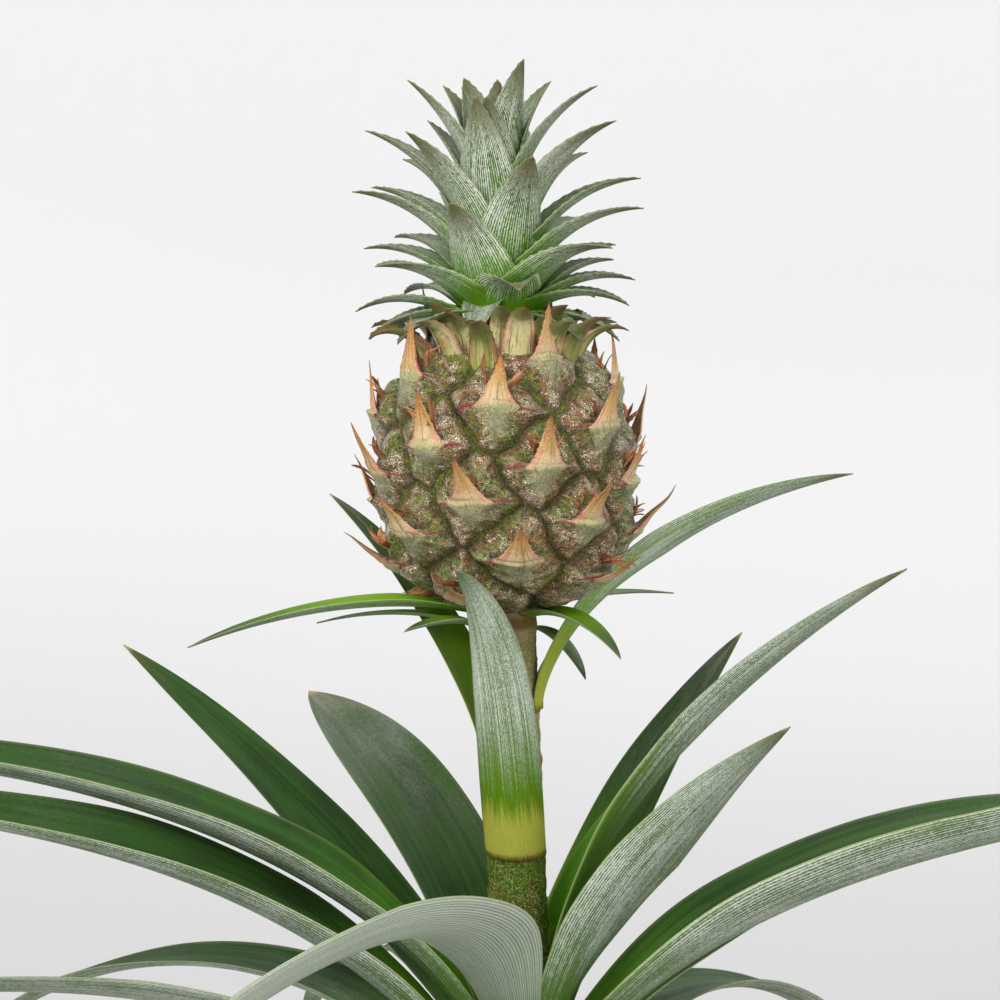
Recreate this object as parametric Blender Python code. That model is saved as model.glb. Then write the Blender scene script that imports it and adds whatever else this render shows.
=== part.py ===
"""A dwarf pineapple plant in its pot: rosette, stalk with its leaves, fruit and leafy crown.

Metres, +Z up. The origin is the middle of the pot's underside. The front of the plant faces -Y.
Every leaf is a channelled blade on a curved midrib, and all blades come from one function.
"""
import math
from typing import NamedTuple

import bmesh
import bpy
import numpy as np

MM = 0.001

# Pot: a plain round pot with a banded rim and drain holes round the edge of its base.
POT_HEIGHT = 110.0
POT_RIM_RADIUS = 60.0
POT_SHOULDER_RADIUS = 57.0
POT_BASE_RADIUS = 44.0
POT_WALL = 2.2
POT_RIM_BAND = 16.0
POT_DRAIN_HOLES = 6
POT_DRAIN_RADIUS = 4.5
POT_DRAIN_CIRCLE = 30.0
POT_SIDES = 40
POT_EDGE = 1.0

# Soil, and the stem that is planted in it.
SOIL_LEVEL = 98.0
SOIL_MOUND = 3.0
STEM_FOOT = 70.0
STEM_TOP = 178.0
STEM_FOOT_RADIUS = 12.0
STEM_TOP_RADIUS = 9.0

# The stalk leans to the left as it rises, and carries the fruit and the crown with it.
LEAN_START = 150.0
LEAN_SLOPE = 0.0305
STALK_FOOT_RADIUS = 8.6
STALK_TOP_RADIUS = 7.4

# Fruit: a barrel with rounded ends, covered in fruitlets on a spiral.
FRUIT_MIDDLE = 316.0
FRUIT_HALF_HEIGHT = 37.5
FRUIT_RADIUS = 35.6
FRUIT_SQUARENESS = 2.6
FRUIT_END = 0.992
FRUITLET_FIRST = 0.5
FRUITLET_STEP = 1.84
FRUITLET_TURN = -137.5
FRUITLET_PHASE = -150.0
FRUITLET_RELIEF = 1.6
FRUITLET_REACH = 8.0
FRUIT_END_RADIUS = 12.0
FRUIT_SIDES = 40
FRUIT_ROWS = 22

# Crown: a short tapered core that the crown leaves sit on.
CROWN_TOP = 403.0
CROWN_FOOT_RADIUS = 8.3
CROWN_TOP_RADIUS = 3.4

# Pieces that touch on the plant are modelled this far apart.
GAP = 0.3

# What all blades share. Shares are of the blade's length or of its thickness.
ROSETTE_THICKNESS = 1.3
STALK_LEAF_THICKNESS = 1.0
CROWN_THICKNESS = 0.9
BLADE_COLUMNS = 4
SWELL_SHARE = 0.32
OPENING_SHARE = 0.30
TIP_ROUNDING = 0.85
TIP_HALF_WIDTH = 0.25
EDGE_THINNING = 0.6
TIP_THINNING = 0.5


class Leaf(NamedTuple):
    """One blade. Angles are in degrees and lengths in millimetres."""
    azimuth: float          # the way it grows, anticlockwise from +X seen from above
    height: float           # where its base meets the stem
    rise: float             # its angle above level at the base
    droop: float            # its angle above level at the tip
    length: float
    width: float
    bend: float = 0.45      # below 1 it bends near the base, above 1 near the tip
    roll: float = 0.0       # how far the blade is turned about its midrib
    channel: float = 36.0   # half the angle of the arc across the blade
    taper: float = 2.4      # higher keeps it broad for longer
    foot: float = 0.62      # width at the base, as a share of the full width
    sweep: float = 0.0      # how far the tip swings sideways
    lean: float = 0.0       # sideways drift to the left for each millimetre of rise


ROSETTE = [
    Leaf(15, 173, 84, 28, 158, 30, 0.47, roll=-34, channel=50),
    Leaf(-105, 154, 72, -60, 198, 42, 0.80, roll=30, foot=0.42, sweep=-80),
    Leaf(-28, 156, 80, 42, 120, 31, 0.40, roll=-32),
    Leaf(141, 152, 85, 26, 121, 37, 0.80, roll=-4, channel=26, taper=6.0),
    Leaf(186, 146, 82, -3, 260, 37, 0.42, roll=-5, channel=62),
    Leaf(46, 147, 85, 36, 144, 26, 0.50, roll=8),
    Leaf(158, 140, 80, 35, 168, 27, 0.30, roll=-20),
    Leaf(-10, 135, 85, -1, 280, 38, 0.34, roll=-26, channel=50),
    Leaf(193, 127, 82, -3, 275, 38, 0.45, roll=-10, channel=62),
    Leaf(24, 128, 84, -12, 262, 34, 0.40, roll=15),
    Leaf(-62, 132, 80, -45, 200, 32, 0.33),
    Leaf(82, 143, 80, -30, 176, 28, 0.35),
    Leaf(-98, 122, 80, -55, 190, 32, 0.33),
    Leaf(152, 116, 82, -46, 236, 30, 0.52),
    Leaf(112, 133, 80, -40, 210, 30, 0.35),
    Leaf(48, 118, 82, -52, 196, 30, 0.50),
    Leaf(200, 112, 80, -10, 250, 32, 0.40, roll=20),
    Leaf(-38, 114, 80, -50, 200, 32, 0.33),
    Leaf(-122, 110, 80, -55, 190, 32, 0.33),
    Leaf(74, 109, 80, -50, 200, 32, 0.33),
]

STALK_LEAVES = [
    Leaf(-92, 207, 81, 40, 95, 20.5, 2.5, channel=55, taper=4.2, foot=1.1, sweep=-31, lean=0.07),
    Leaf(154, 233, 88, 38, 90, 19, 0.60, roll=-10, foot=0.5, lean=0.03),
    Leaf(5, 249, 88, 9, 118, 16, 0.50, roll=-44, foot=0.9, lean=0.03),
    Leaf(191, 276, 16, -20, 84, 14, 0.70, roll=2, channel=45, foot=0.6),
    Leaf(-150, 272.5, 24, -14, 26, 10, 0.70, channel=40, foot=0.7),
    Leaf(-40, 276, 18, -46, 35, 12, 0.90, foot=0.8),
    Leaf(46, 271, 0, -56, 31, 9, 0.50, foot=0.8),
    Leaf(32, 276, 14, -8, 49, 7, 0.70, foot=0.8),
    Leaf(180, 271.5, 24, -14, 47, 6, 0.70, foot=0.8),
]

CROWN = [
    Leaf(-38, 397, 86, 72, 34, 17, 1.0),
    Leaf(122, 397.5, 82, 56, 30, 14, 1.0),
    Leaf(28, 394, 82, 46, 32, 14, 1.0),
    Leaf(188, 391, 80, 42, 39, 16, 1.0),
    Leaf(-2, 388, 80, 30, 40, 16, 1.0),
    Leaf(-110, 383, 80, 76, 38, 17, 1.0),
    Leaf(160, 381, 74, 18, 46, 17, 1.0),
    Leaf(-30, 375, 80, 31, 46, 19, 1.0),
    Leaf(18, 373, 65, 5, 42, 15, 1.0),
    Leaf(-150, 373, 80, 44, 42, 19, 1.0),
    Leaf(-71, 370, 82, 51, 38, 19, 1.0),
    Leaf(190, 368, 70, 6, 44, 18, 1.0),
    Leaf(-14, 367, 64, 2, 43, 17, 1.0),
    Leaf(-119, 362, 74, 48, 34, 15, 1.0),
    Leaf(-40, 362, 60, 6, 35, 16, 1.0),
    Leaf(20, 359, 60, 0, 32, 14, 1.0),
    Leaf(166, 363, 58, -8, 36, 14, 1.0),
    Leaf(205, 360, 54, 0, 36, 17, 1.0),
    Leaf(-80, 356.5, 76, -30, 24, 16, 1.0),
    Leaf(0, 357, 48, -18, 32, 13, 1.0),
    Leaf(184, 356, 44, -28, 34, 13, 1.0),
    Leaf(72, 383, 75, 25, 38, 16, 1.0),
    Leaf(116, 371, 66, 6, 38, 16, 1.0),
    Leaf(66, 362, 55, -10, 34, 15, 1.0),
]
CROWN_SHAPE = dict(channel=40, taper=1.7, foot=0.76, lean=LEAN_SLOPE)


def clear_scene():
    for item in list(bpy.data.objects):
        bpy.data.objects.remove(item, do_unlink=True)


def material(name, colour, roughness):
    made = bpy.data.materials.new(name)
    made.use_nodes = True
    shader = made.node_tree.nodes["Principled BSDF"]
    shader.inputs["Base Color"].default_value = (*colour, 1.0)
    shader.inputs["Roughness"].default_value = roughness
    shader.inputs["Metallic"].default_value = 0.0
    made.diffuse_color = (*colour, 1.0)
    return made


def add_object(name, bm, finish, smooth_angle=40.0):
    """Turn a bmesh that is in millimetres into a named object in metres."""
    bmesh.ops.scale(bm, vec=(MM, MM, MM), verts=bm.verts)
    mesh = bpy.data.meshes.new(name)
    bm.to_mesh(mesh)
    bm.free()
    mesh.shade_smooth()
    mesh.set_sharp_from_angle(angle=math.radians(smooth_angle))
    mesh.materials.append(finish)
    made = bpy.data.objects.new(name, mesh)
    bpy.context.scene.collection.objects.link(made)
    return made


def smooth_step(value):
    value = min(1.0, max(0.0, value))
    return value * value * (3.0 - 2.0 * value)


def axis_x(height):
    """The x of the plant's axis, which leans from LEAN_START upwards."""
    return -LEAN_SLOPE * max(0.0, height - LEAN_START)


def blend(start, end, share):
    return start + (end - start) * min(1.0, max(0.0, share))


def stem_radius(height):
    return blend(STEM_FOOT_RADIUS, STEM_TOP_RADIUS, (height - SOIL_LEVEL) / (STEM_TOP - SOIL_LEVEL))


def fruit_bottom():
    return FRUIT_MIDDLE - FRUIT_END * FRUIT_HALF_HEIGHT


def fruit_top():
    return FRUIT_MIDDLE + FRUIT_END * FRUIT_HALF_HEIGHT


def stalk_radius(height):
    share = (height - STEM_TOP) / (fruit_bottom() - STEM_TOP)
    return blend(STALK_FOOT_RADIUS, STALK_TOP_RADIUS, share)


def core_radius(height):
    share = (height - fruit_top()) / (CROWN_TOP - fruit_top())
    return blend(CROWN_FOOT_RADIUS, CROWN_TOP_RADIUS, share)


def turned(profile, sides, radius_at=None):
    """A closed solid turned about the plant's axis from (radius, height) points, foot to top."""
    bm = bmesh.new()
    rings = []
    for radius, height in profile:
        if radius <= 0.0:
            rings.append([bm.verts.new((axis_x(height), 0.0, height))])
            continue
        ring = []
        for side in range(sides):
            angle = 2.0 * math.pi * side / sides
            reach = radius if radius_at is None else radius_at(radius, height, angle)
            ring.append(bm.verts.new((axis_x(height) + reach * math.cos(angle),
                                      reach * math.sin(angle), height)))
        rings.append(ring)
    for lower, upper in zip(rings, rings[1:]):
        for side in range(sides):
            following = (side + 1) % sides
            if len(lower) == 1:
                bm.faces.new((lower[0], upper[following], upper[side]))
            elif len(upper) == 1:
                bm.faces.new((lower[side], lower[following], upper[0]))
            else:
                bm.faces.new((lower[side], lower[following], upper[following], upper[side]))
    return bm


def midrib(leaf, steps, radius):
    """Points along the leaf, each with its tangent, its sideways direction and its upper normal."""
    azimuth = math.radians(leaf.azimuth)
    point = np.array([axis_x(leaf.height) + radius * math.cos(azimuth),
                      radius * math.sin(azimuth), leaf.height])
    fine = 6
    stations = []
    for count in range(steps * fine + 1):
        along = count / (steps * fine)
        slope = math.radians(leaf.rise + (leaf.droop - leaf.rise) * along ** leaf.bend)
        heading = azimuth + math.radians(leaf.sweep) * along ** 1.5
        tangent = np.array([math.cos(slope) * math.cos(heading),
                            math.cos(slope) * math.sin(heading), math.sin(slope)])
        if count % fine == 0:
            level_side = np.array([-math.sin(heading), math.cos(heading), 0.0])
            level_up = np.cross(tangent, level_side)
            roll = math.radians(leaf.roll * min(1.0, 2.0 * along))
            side = level_side * math.cos(roll) + level_up * math.sin(roll)
            up = np.cross(tangent, side)
            stations.append((along, point.copy(), side, up))
        point += tangent * (leaf.length / (steps * fine))
        point[0] -= leaf.lean * tangent[2] * leaf.length / (steps * fine)
    return stations


def half_width(leaf, along):
    swell = leaf.foot + (1.0 - leaf.foot) * smooth_step(along / SWELL_SHARE)
    return 0.5 * leaf.width * swell * (1.0 - along ** leaf.taper) ** TIP_ROUNDING


def foot_radius(leaf, thickness, stem):
    """Distance from the axis to the blade's foot, so that its chords just clear the stem."""
    upright = math.sin(math.radians(leaf.rise))
    radius = stem + GAP + 0.5 * thickness * upright
    step = min(1.2, half_width(leaf, 0.0) / radius) / BLADE_COLUMNS
    return radius + radius * (1.0 - math.cos(step)) * upright


def blade(leaf, steps, thickness, stem):
    """A closed channelled blade whose foot clasps a stem of the given radius."""
    radius = foot_radius(leaf, thickness, stem)
    foot_channel = min(1.5, half_width(leaf, 0.0) / radius)
    upper, lower = [], []
    bm = bmesh.new()
    for along, point, side, up in midrib(leaf, steps, radius):
        half = max(half_width(leaf, along), TIP_HALF_WIDTH)
        arc = blend(foot_channel, math.radians(leaf.channel), smooth_step(along / OPENING_SHARE))
        curve = half / arc
        tops, bottoms = [], []
        for column in range(BLADE_COLUMNS + 1):
            share = 2.0 * column / BLADE_COLUMNS - 1.0
            turn = share * arc
            middle = point + side * (curve * math.sin(turn)) + up * (curve * (1.0 - math.cos(turn)))
            normal = up * math.cos(turn) - side * math.sin(turn)
            depth = 0.5 * thickness * (1.0 - EDGE_THINNING * share ** 2) * (1.0 - TIP_THINNING * along)
            tops.append(bm.verts.new(middle + normal * depth))
            bottoms.append(bm.verts.new(middle - normal * depth))
        upper.append(tops)
        lower.append(bottoms)
    for row in range(steps):
        ahead = row + 1
        for near in range(BLADE_COLUMNS):
            far = near + 1
            bm.faces.new((upper[row][near], upper[ahead][near], upper[ahead][far], upper[row][far]))
            bm.faces.new((lower[row][near], lower[row][far], lower[ahead][far], lower[ahead][near]))
        bm.faces.new((upper[row][0], lower[row][0], lower[ahead][0], upper[ahead][0]))
        bm.faces.new((upper[row][-1], upper[ahead][-1], lower[ahead][-1], lower[row][-1]))
    for near in range(BLADE_COLUMNS):
        far = near + 1
        bm.faces.new((upper[0][near], upper[0][far], lower[0][far], lower[0][near]))
        bm.faces.new((upper[-1][near], lower[-1][near], lower[-1][far], upper[-1][far]))
    return bm


def build_pot():
    bottom = POT_WALL
    shoulder = POT_HEIGHT - POT_RIM_BAND
    profile = [
        (0.0, 0.0), (POT_BASE_RADIUS - POT_EDGE, 0.0), (POT_BASE_RADIUS, POT_EDGE),
        (POT_SHOULDER_RADIUS, shoulder), (POT_RIM_RADIUS - 0.6 * POT_EDGE, shoulder),
        (POT_RIM_RADIUS, POT_HEIGHT - POT_EDGE), (POT_RIM_RADIUS - POT_EDGE, POT_HEIGHT),
        (POT_RIM_RADIUS - POT_WALL, POT_HEIGHT),
        (POT_RIM_RADIUS - POT_WALL - 0.8 * POT_EDGE, shoulder + POT_WALL),
        (POT_SHOULDER_RADIUS - POT_WALL, shoulder), (POT_BASE_RADIUS - POT_WALL, bottom + POT_EDGE),
        (POT_BASE_RADIUS - POT_WALL - POT_EDGE, bottom), (0.0, bottom),
    ]
    clay = material("pot_plastic", (0.36, 0.15, 0.09), 0.55)
    pot = add_object("pot", turned(profile, POT_SIDES), clay, 30.0)
    drills = bmesh.new()
    for number in range(POT_DRAIN_HOLES):
        angle = 2.0 * math.pi * (number + 0.5) / POT_DRAIN_HOLES
        drill = bmesh.ops.create_cone(drills, cap_ends=True, segments=12, radius1=POT_DRAIN_RADIUS,
                                      radius2=POT_DRAIN_RADIUS, depth=4.0 * POT_WALL)
        middle = (POT_DRAIN_CIRCLE * math.cos(angle), POT_DRAIN_CIRCLE * math.sin(angle), 0.0)
        bmesh.ops.translate(drills, verts=drill["verts"], vec=middle)
    cutter = add_object("drain_cutter", drills, clay)
    cutter.hide_render = True
    cutter.display_type = "WIRE"
    holes = pot.modifiers.new("drain_holes", "BOOLEAN")
    holes.operation = "DIFFERENCE"
    holes.solver = "EXACT"
    holes.object = cutter
    return pot


def pot_inside(height):
    """Radius of the pot's inside wall at a height below the rim band."""
    span = POT_HEIGHT - POT_RIM_BAND
    return blend(POT_BASE_RADIUS, POT_SHOULDER_RADIUS, height / span) - POT_WALL


def build_soil():
    foot = POT_WALL + GAP
    shoulder = POT_HEIGHT - POT_RIM_BAND
    socket = STEM_FOOT_RADIUS + GAP
    profile = [
        (0.0, foot), (pot_inside(0.0) - 3.0, foot), (pot_inside(0.0) - 0.5, foot + 3.0),
        (pot_inside(shoulder) - GAP - 0.2, shoulder - 0.5), (pot_inside(shoulder) - 0.2, SOIL_LEVEL),
        (40.0, SOIL_LEVEL + 0.35 * SOIL_MOUND), (socket + 6.0, SOIL_LEVEL + SOIL_MOUND),
        (socket, SOIL_LEVEL + 0.8 * SOIL_MOUND), (socket, STEM_FOOT - GAP), (0.0, STEM_FOOT - GAP),
    ]
    return add_object("soil", turned(profile, 32), material("soil", (0.05, 0.035, 0.025), 0.95), 60.0)


def build_stem():
    profile = [(0.0, STEM_FOOT), (STEM_FOOT_RADIUS - 2.0, STEM_FOOT), (STEM_FOOT_RADIUS, STEM_FOOT + 2.0)]
    for height in (SOIL_LEVEL, 125.0, 152.0, STEM_TOP):
        profile.append((stem_radius(height), height))
    profile.append((0.0, STEM_TOP))
    return add_object("stem", turned(profile, 24), material("stem", (0.20, 0.24, 0.10), 0.8))


def build_stalk():
    foot = STEM_TOP + GAP
    top = fruit_bottom() - GAP
    profile = [(0.0, foot)]
    for height in np.linspace(foot, top, 6):
        profile.append((stalk_radius(height), float(height)))
    profile.append((0.0, top))
    return add_object("fruit_stalk", turned(profile, 24), material("stalk", (0.25, 0.27, 0.11), 0.75))


def fruit_radius(height):
    share = abs(height - FRUIT_MIDDLE) / FRUIT_HALF_HEIGHT
    return FRUIT_RADIUS * (1.0 - share ** FRUIT_SQUARENESS) ** (1.0 / FRUIT_SQUARENESS)


def fruitlet_centres():
    """Angle and height of each fruitlet, on one spiral from the foot of the fruit to its top."""
    count = int(2.0 * FRUIT_HALF_HEIGHT / FRUITLET_STEP)
    centres = []
    for number in range(count + 1):
        height = FRUIT_MIDDLE - FRUIT_HALF_HEIGHT + FRUITLET_FIRST + FRUITLET_STEP * number
        centres.append((math.radians(FRUITLET_PHASE + FRUITLET_TURN * number), height))
    return centres


def build_fruit():
    centres = fruitlet_centres()

    def reach(radius, height, angle):
        """The rind swells over each fruitlet, except on the flat ends."""
        if radius < FRUIT_END_RADIUS:
            return radius
        nearest = FRUITLET_REACH
        for centre_angle, centre_height in centres:
            turn = math.remainder(angle - centre_angle, 2.0 * math.pi)
            nearest = min(nearest, math.hypot(turn * radius, height - centre_height))
        return radius + FRUITLET_RELIEF * (0.7 - (nearest / FRUITLET_REACH) ** 2)

    profile = [(0.0, fruit_bottom())]
    for row in range(FRUIT_ROWS + 1):
        even = 2.0 * row / FRUIT_ROWS - 1.0
        share = 0.65 * even + 0.35 * math.sin(0.5 * math.pi * even)
        height = FRUIT_MIDDLE + FRUIT_END * FRUIT_HALF_HEIGHT * share
        profile.append((fruit_radius(height), height))
    profile.append((0.0, fruit_top()))
    flesh = material("fruit_rind", (0.17, 0.15, 0.08), 0.6)
    return add_object("fruit", turned(profile, FRUIT_SIDES, reach), flesh)


def build_crown_core():
    foot = fruit_top() + GAP
    profile = [(0.0, foot)]
    for height in np.linspace(foot, CROWN_TOP - 2.0, 4):
        profile.append((core_radius(height), float(height)))
    profile.append((1.5, CROWN_TOP))
    profile.append((0.0, CROWN_TOP))
    return add_object("crown_core", turned(profile, 20), material("crown_core", (0.30, 0.42, 0.12), 0.7))


def build_leaves(prefix, leaves, steps, thickness, stem_at, colour):
    """One object for each leaf, the leaves of a set a little lighter and darker in turn."""
    for number, leaf in enumerate(leaves):
        shade = 0.9 + 0.05 * (number * 7 % 5)
        name = f"{prefix}_{number + 1:02d}"
        green = material(name, tuple(shade * part for part in colour), 0.5)
        add_object(name, blade(leaf, steps, thickness, stem_at(leaf.height)), green)


def main():
    clear_scene()
    build_pot()
    build_soil()
    build_stem()
    build_stalk()
    build_fruit()
    build_crown_core()
    crown = [leaf._replace(**CROWN_SHAPE) for leaf in CROWN]
    build_leaves("rosette_leaf", ROSETTE, 11, ROSETTE_THICKNESS, stem_radius, (0.07, 0.14, 0.05))
    build_leaves("stalk_leaf", STALK_LEAVES, 8, STALK_LEAF_THICKNESS, stalk_radius, (0.20, 0.30, 0.10))
    build_leaves("crown_leaf", crown, 6, CROWN_THICKNESS, core_radius, (0.16, 0.24, 0.11))


main()
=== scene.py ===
"""The looks of a dwarf pineapple plant in its pot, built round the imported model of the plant.

Every piece is worked out in millimetres and made in metres. The front of the plant faces -Y.
"""

import math
from typing import NamedTuple

import bpy
import numpy as np
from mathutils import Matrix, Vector


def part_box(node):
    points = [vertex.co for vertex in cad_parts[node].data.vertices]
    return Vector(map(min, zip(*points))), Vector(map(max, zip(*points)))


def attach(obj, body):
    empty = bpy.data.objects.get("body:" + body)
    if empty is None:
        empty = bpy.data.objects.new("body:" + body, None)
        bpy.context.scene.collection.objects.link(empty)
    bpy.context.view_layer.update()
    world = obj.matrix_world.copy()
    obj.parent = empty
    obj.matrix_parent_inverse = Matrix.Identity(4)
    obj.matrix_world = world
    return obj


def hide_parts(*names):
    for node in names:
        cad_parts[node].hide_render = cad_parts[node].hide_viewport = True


bl_info = {
    "name": "Potted Pineapple Plant",
    "version": (1, 0, 0),
    "blender": (4, 5, 0),
    "location": "View3D > Sidebar > Pineapple",
    "description": "Builds the leaves, fruit, crown, soil and pot of a dwarf pineapple plant",
    "category": "Object",
}

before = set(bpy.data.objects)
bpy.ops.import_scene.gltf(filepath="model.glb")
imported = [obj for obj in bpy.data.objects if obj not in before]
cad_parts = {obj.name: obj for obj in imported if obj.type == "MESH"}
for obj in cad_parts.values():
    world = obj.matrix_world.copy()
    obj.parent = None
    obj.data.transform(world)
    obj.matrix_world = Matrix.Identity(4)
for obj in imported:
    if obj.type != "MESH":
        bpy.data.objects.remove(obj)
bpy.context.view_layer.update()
MM = 0.001
BODY = "root"
GOLDEN_SHARE = 0.618034


def node_box(node):
    """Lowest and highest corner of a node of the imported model, in millimetres."""
    low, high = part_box(node)
    return np.array(low) / MM, np.array(high) / MM


SOIL_LOW, SOIL_HIGH = node_box("soil")
STEM_LOW, STEM_HIGH = node_box("stem")
STALK_LOW, STALK_HIGH = node_box("fruit_stalk")
FRUIT_LOW, FRUIT_HIGH = node_box("fruit")
CORE_LOW, CORE_HIGH = node_box("crown_core")
FRUIT_MIDDLE = 0.5 * (FRUIT_LOW[2] + FRUIT_HIGH[2])

# The stalk leans to the left above LEAN_START. The stem, the stalk and the crown's core taper.
LEAN_START = 150.0
LEAN_SLOPE = 0.0305
STEM_RADII = (12.0, 9.0)
STALK_RADII = (8.6, 7.4)
CORE_RADII = (8.3, 3.4)
GAP = 0.3

# Rings round the stalk and the stem where leaves grew, as (height, half width), and the sides and the
# spacing of the rows that the stalk and the stem are meshed with.
STALK_RINGS = [(208.0, 1.6), (249.0, 1.4), (234.0, 1.2), (274.0, 2.4)]
STEM_RINGS = [(height, 1.2) for height in (104.0, 111.0, 119.0, 128.0, 137.0, 147.0, 158.0, 169.0)]
SHAFT_SIDES = 72
SHAFT_STEP = 0.7

# Soil: its level at the pot's wall, how far it rises to the stem, and the loose pieces on it.
SOIL_LEVEL = 98.0
SOIL_MOUND = 3.0
SOIL_SIDES = 200
SOIL_RINGS = 70
SOIL_SEED = 7
CRUMBS, CRUMB_SIZES = 420, (0.8, 2.4)
GRAINS, GRAIN_SIZES = 46, (0.8, 1.8)

# Fruit: a squarish barrel with its fruitlets on one spiral.
FRUIT_HALF_HEIGHT = 37.5
FRUIT_RADIUS = 35.6
FRUIT_SQUARENESS = 2.6
FRUIT_END = 0.992
FRUITLET_FIRST = 0.5
FRUITLET_STEP = 1.84
FRUITLET_TURN = -137.5
FRUITLET_PHASE = -150.0
FRUITLETS_MOST = 60
FRUITLET_MARGIN = 1.2
RIND_SIDES = 400
RIND_ROWS = 200

# A fruitlet's rind: its height over the seam, how fast it rounds over, and how deep the seam lies.
EYE_HEIGHT = 4.9
EYE_ROUNDING = 3.6
SEAM_DEPTH = 2.8

# Blades. Shares are of the blade's length, width or thickness, and the foot clasps at most
# WIDEST_CLASP radians to either side.
SWELL_SHARE = 0.32
OPENING_SHARE = 0.30
WIDEST_CLASP = 1.5
TIP_ROUNDING = 0.85
TIP_HALF_WIDTH = 0.12
WAVINESS = 0.035
EDGE_THINNING = 0.75
TIP_THINNING = 0.5
GROOVE_DEPTH = 0.3
GROOVE_SHARE = 0.12

# Kinds of leaf: what their pieces are called, steps along and across, and where their tones start.
KINDS = {"rosette_leaf": ("arching_leaf", (66, 18), 0.13), "stalk_leaf": ("bract_leaf", (48, 16), 0.37),
         "crown_leaf": ("spiky_leaf", (42, 16), 0.71)}

# Crown: how many of its leaves have a node each, which one is a small bract that hangs at the neck,
# its leaves' teeth, and how much broader they are than their rows say. The lowest ones are a fresher
# green, growing from FRESH_TOP down over FRESH_DEPTH.
CROWN_NODES = 24
SCRAP = 42
CROWN_TEETH = 0.3
CROWN_FULLNESS = 1.26
FRESH_TOP = 380.0
FRESH_DEPTH = 20.0
FRESH_SHIFT = 0.17

# Bracts of the neck and of the fruit, and petals: steps along and across, thickness at the middle,
# teeth, where the tones start, and the seeds of what varies from one to the next.
NECK_GRID, NECK_THICKNESS, NECK_TEETH, NECK_SALT = (30, 12), 0.7, 0.35, 0.5
BRACT_GRID, BRACT_THICKNESS, BRACT_SALT, BRACT_SEED = (44, 12), 0.26, 0.21, 11
PETAL_GRID, PETAL_THICKNESS, PETALS, FLOWER_SEED = (14, 4), 0.22, 5, 23

# Stage, in metres: lamps as (name, place, size, power), the share of the floor's radius that is flat,
# and how the camera sees the plant, with its tilt in degrees.
LAMPS = (("key", (-0.8, -1.1, 1.3), 0.9, 26.0), ("fill", (1.2, -0.9, 0.9), 1.4, 9.0),
         ("back", (0.3, 1.3, 1.5), 1.2, 13.0))
LAMP_TARGET = (0.0, 0.0, 0.27)
SKY_STRENGTH = 0.84
FLOOR_FLAT = 0.6
FLOOR_SIDES = 96
VIEW_TILT = 7.0
VIEW_SIDE = -0.0063
VIEW_DISTANCE = 0.9
VIEW_HALF_WIDTH = 0.14
VIEW_NEAREST = 0.01


class Leaf(NamedTuple):
    """One blade. Angles are in degrees and lengths in millimetres."""
    azimuth: float          # the way it grows, anticlockwise from +X seen from above
    height: float           # where its base meets the stem
    rise: float             # its angle above level at the base
    droop: float            # its angle above level at the tip
    length: float
    width: float
    bend: float = 0.45      # below 1 it bends near the base, above 1 near the tip
    roll: float = 0.0       # how far the blade is turned about its midrib
    channel: float = 36.0   # half the angle of the arc across the blade
    taper: float = 2.4      # higher keeps it broad for longer
    foot: float = 0.62      # width at the base, as a share of the full width
    sweep: float = 0.0      # how far the tip swings sideways
    lean: float = 0.0       # sideways drift to the left for each millimetre of rise
    # Bloom also sets the painted sheen on the upper side, and its pale frost near 1 is partly painted
    # light.
    bloom: float = 0.35     # how grey the bloom on it is; near 1 the whole blade is frosted
    fresh: float = 0.0      # how much farther along its bright green foot reaches


ROSETTE = [
    Leaf(15, 173, 84, 28, 158, 30, 0.47, roll=-34, channel=50, bloom=0.1, fresh=0.25),
    Leaf(-105, 154, 72, -60, 198, 42, 0.80, roll=30, foot=0.42, sweep=-80, bloom=1.0),
    Leaf(-28, 156, 80, 42, 120, 31, 0.40, roll=-32),
    Leaf(141, 152, 85, 26, 121, 37, 0.80, roll=-4, channel=26, taper=6.0, bloom=0.45),
    Leaf(186, 146, 82, -3, 260, 37, 0.42, roll=-5, channel=62),
    Leaf(46, 147, 85, 36, 144, 26, 0.50, roll=8, bloom=0.4, fresh=0.3),
    Leaf(158, 140, 80, 35, 168, 27, 0.30, roll=-20, bloom=0.12),
    Leaf(-10, 135, 85, -1, 280, 38, 0.34, roll=-26, channel=50),
    Leaf(193, 127, 82, -3, 275, 38, 0.45, roll=-10, channel=62),
    Leaf(24, 128, 84, -12, 262, 34, 0.40, roll=15),
    Leaf(-62, 132, 80, -45, 200, 32, 0.33),
    Leaf(82, 143, 80, -30, 176, 28, 0.35),
    Leaf(-98, 122, 80, -55, 190, 32, 0.33),
    Leaf(152, 116, 82, -46, 236, 30, 0.52),
    Leaf(112, 133, 80, -40, 210, 30, 0.35),
    Leaf(48, 118, 82, -52, 196, 30, 0.50),
    Leaf(200, 112, 80, -10, 250, 32, 0.40, roll=20),
    Leaf(-38, 114, 80, -50, 200, 32, 0.33),
    Leaf(-122, 110, 80, -55, 190, 32, 0.33),
    Leaf(74, 109, 80, -50, 200, 32, 0.33),
]

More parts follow.
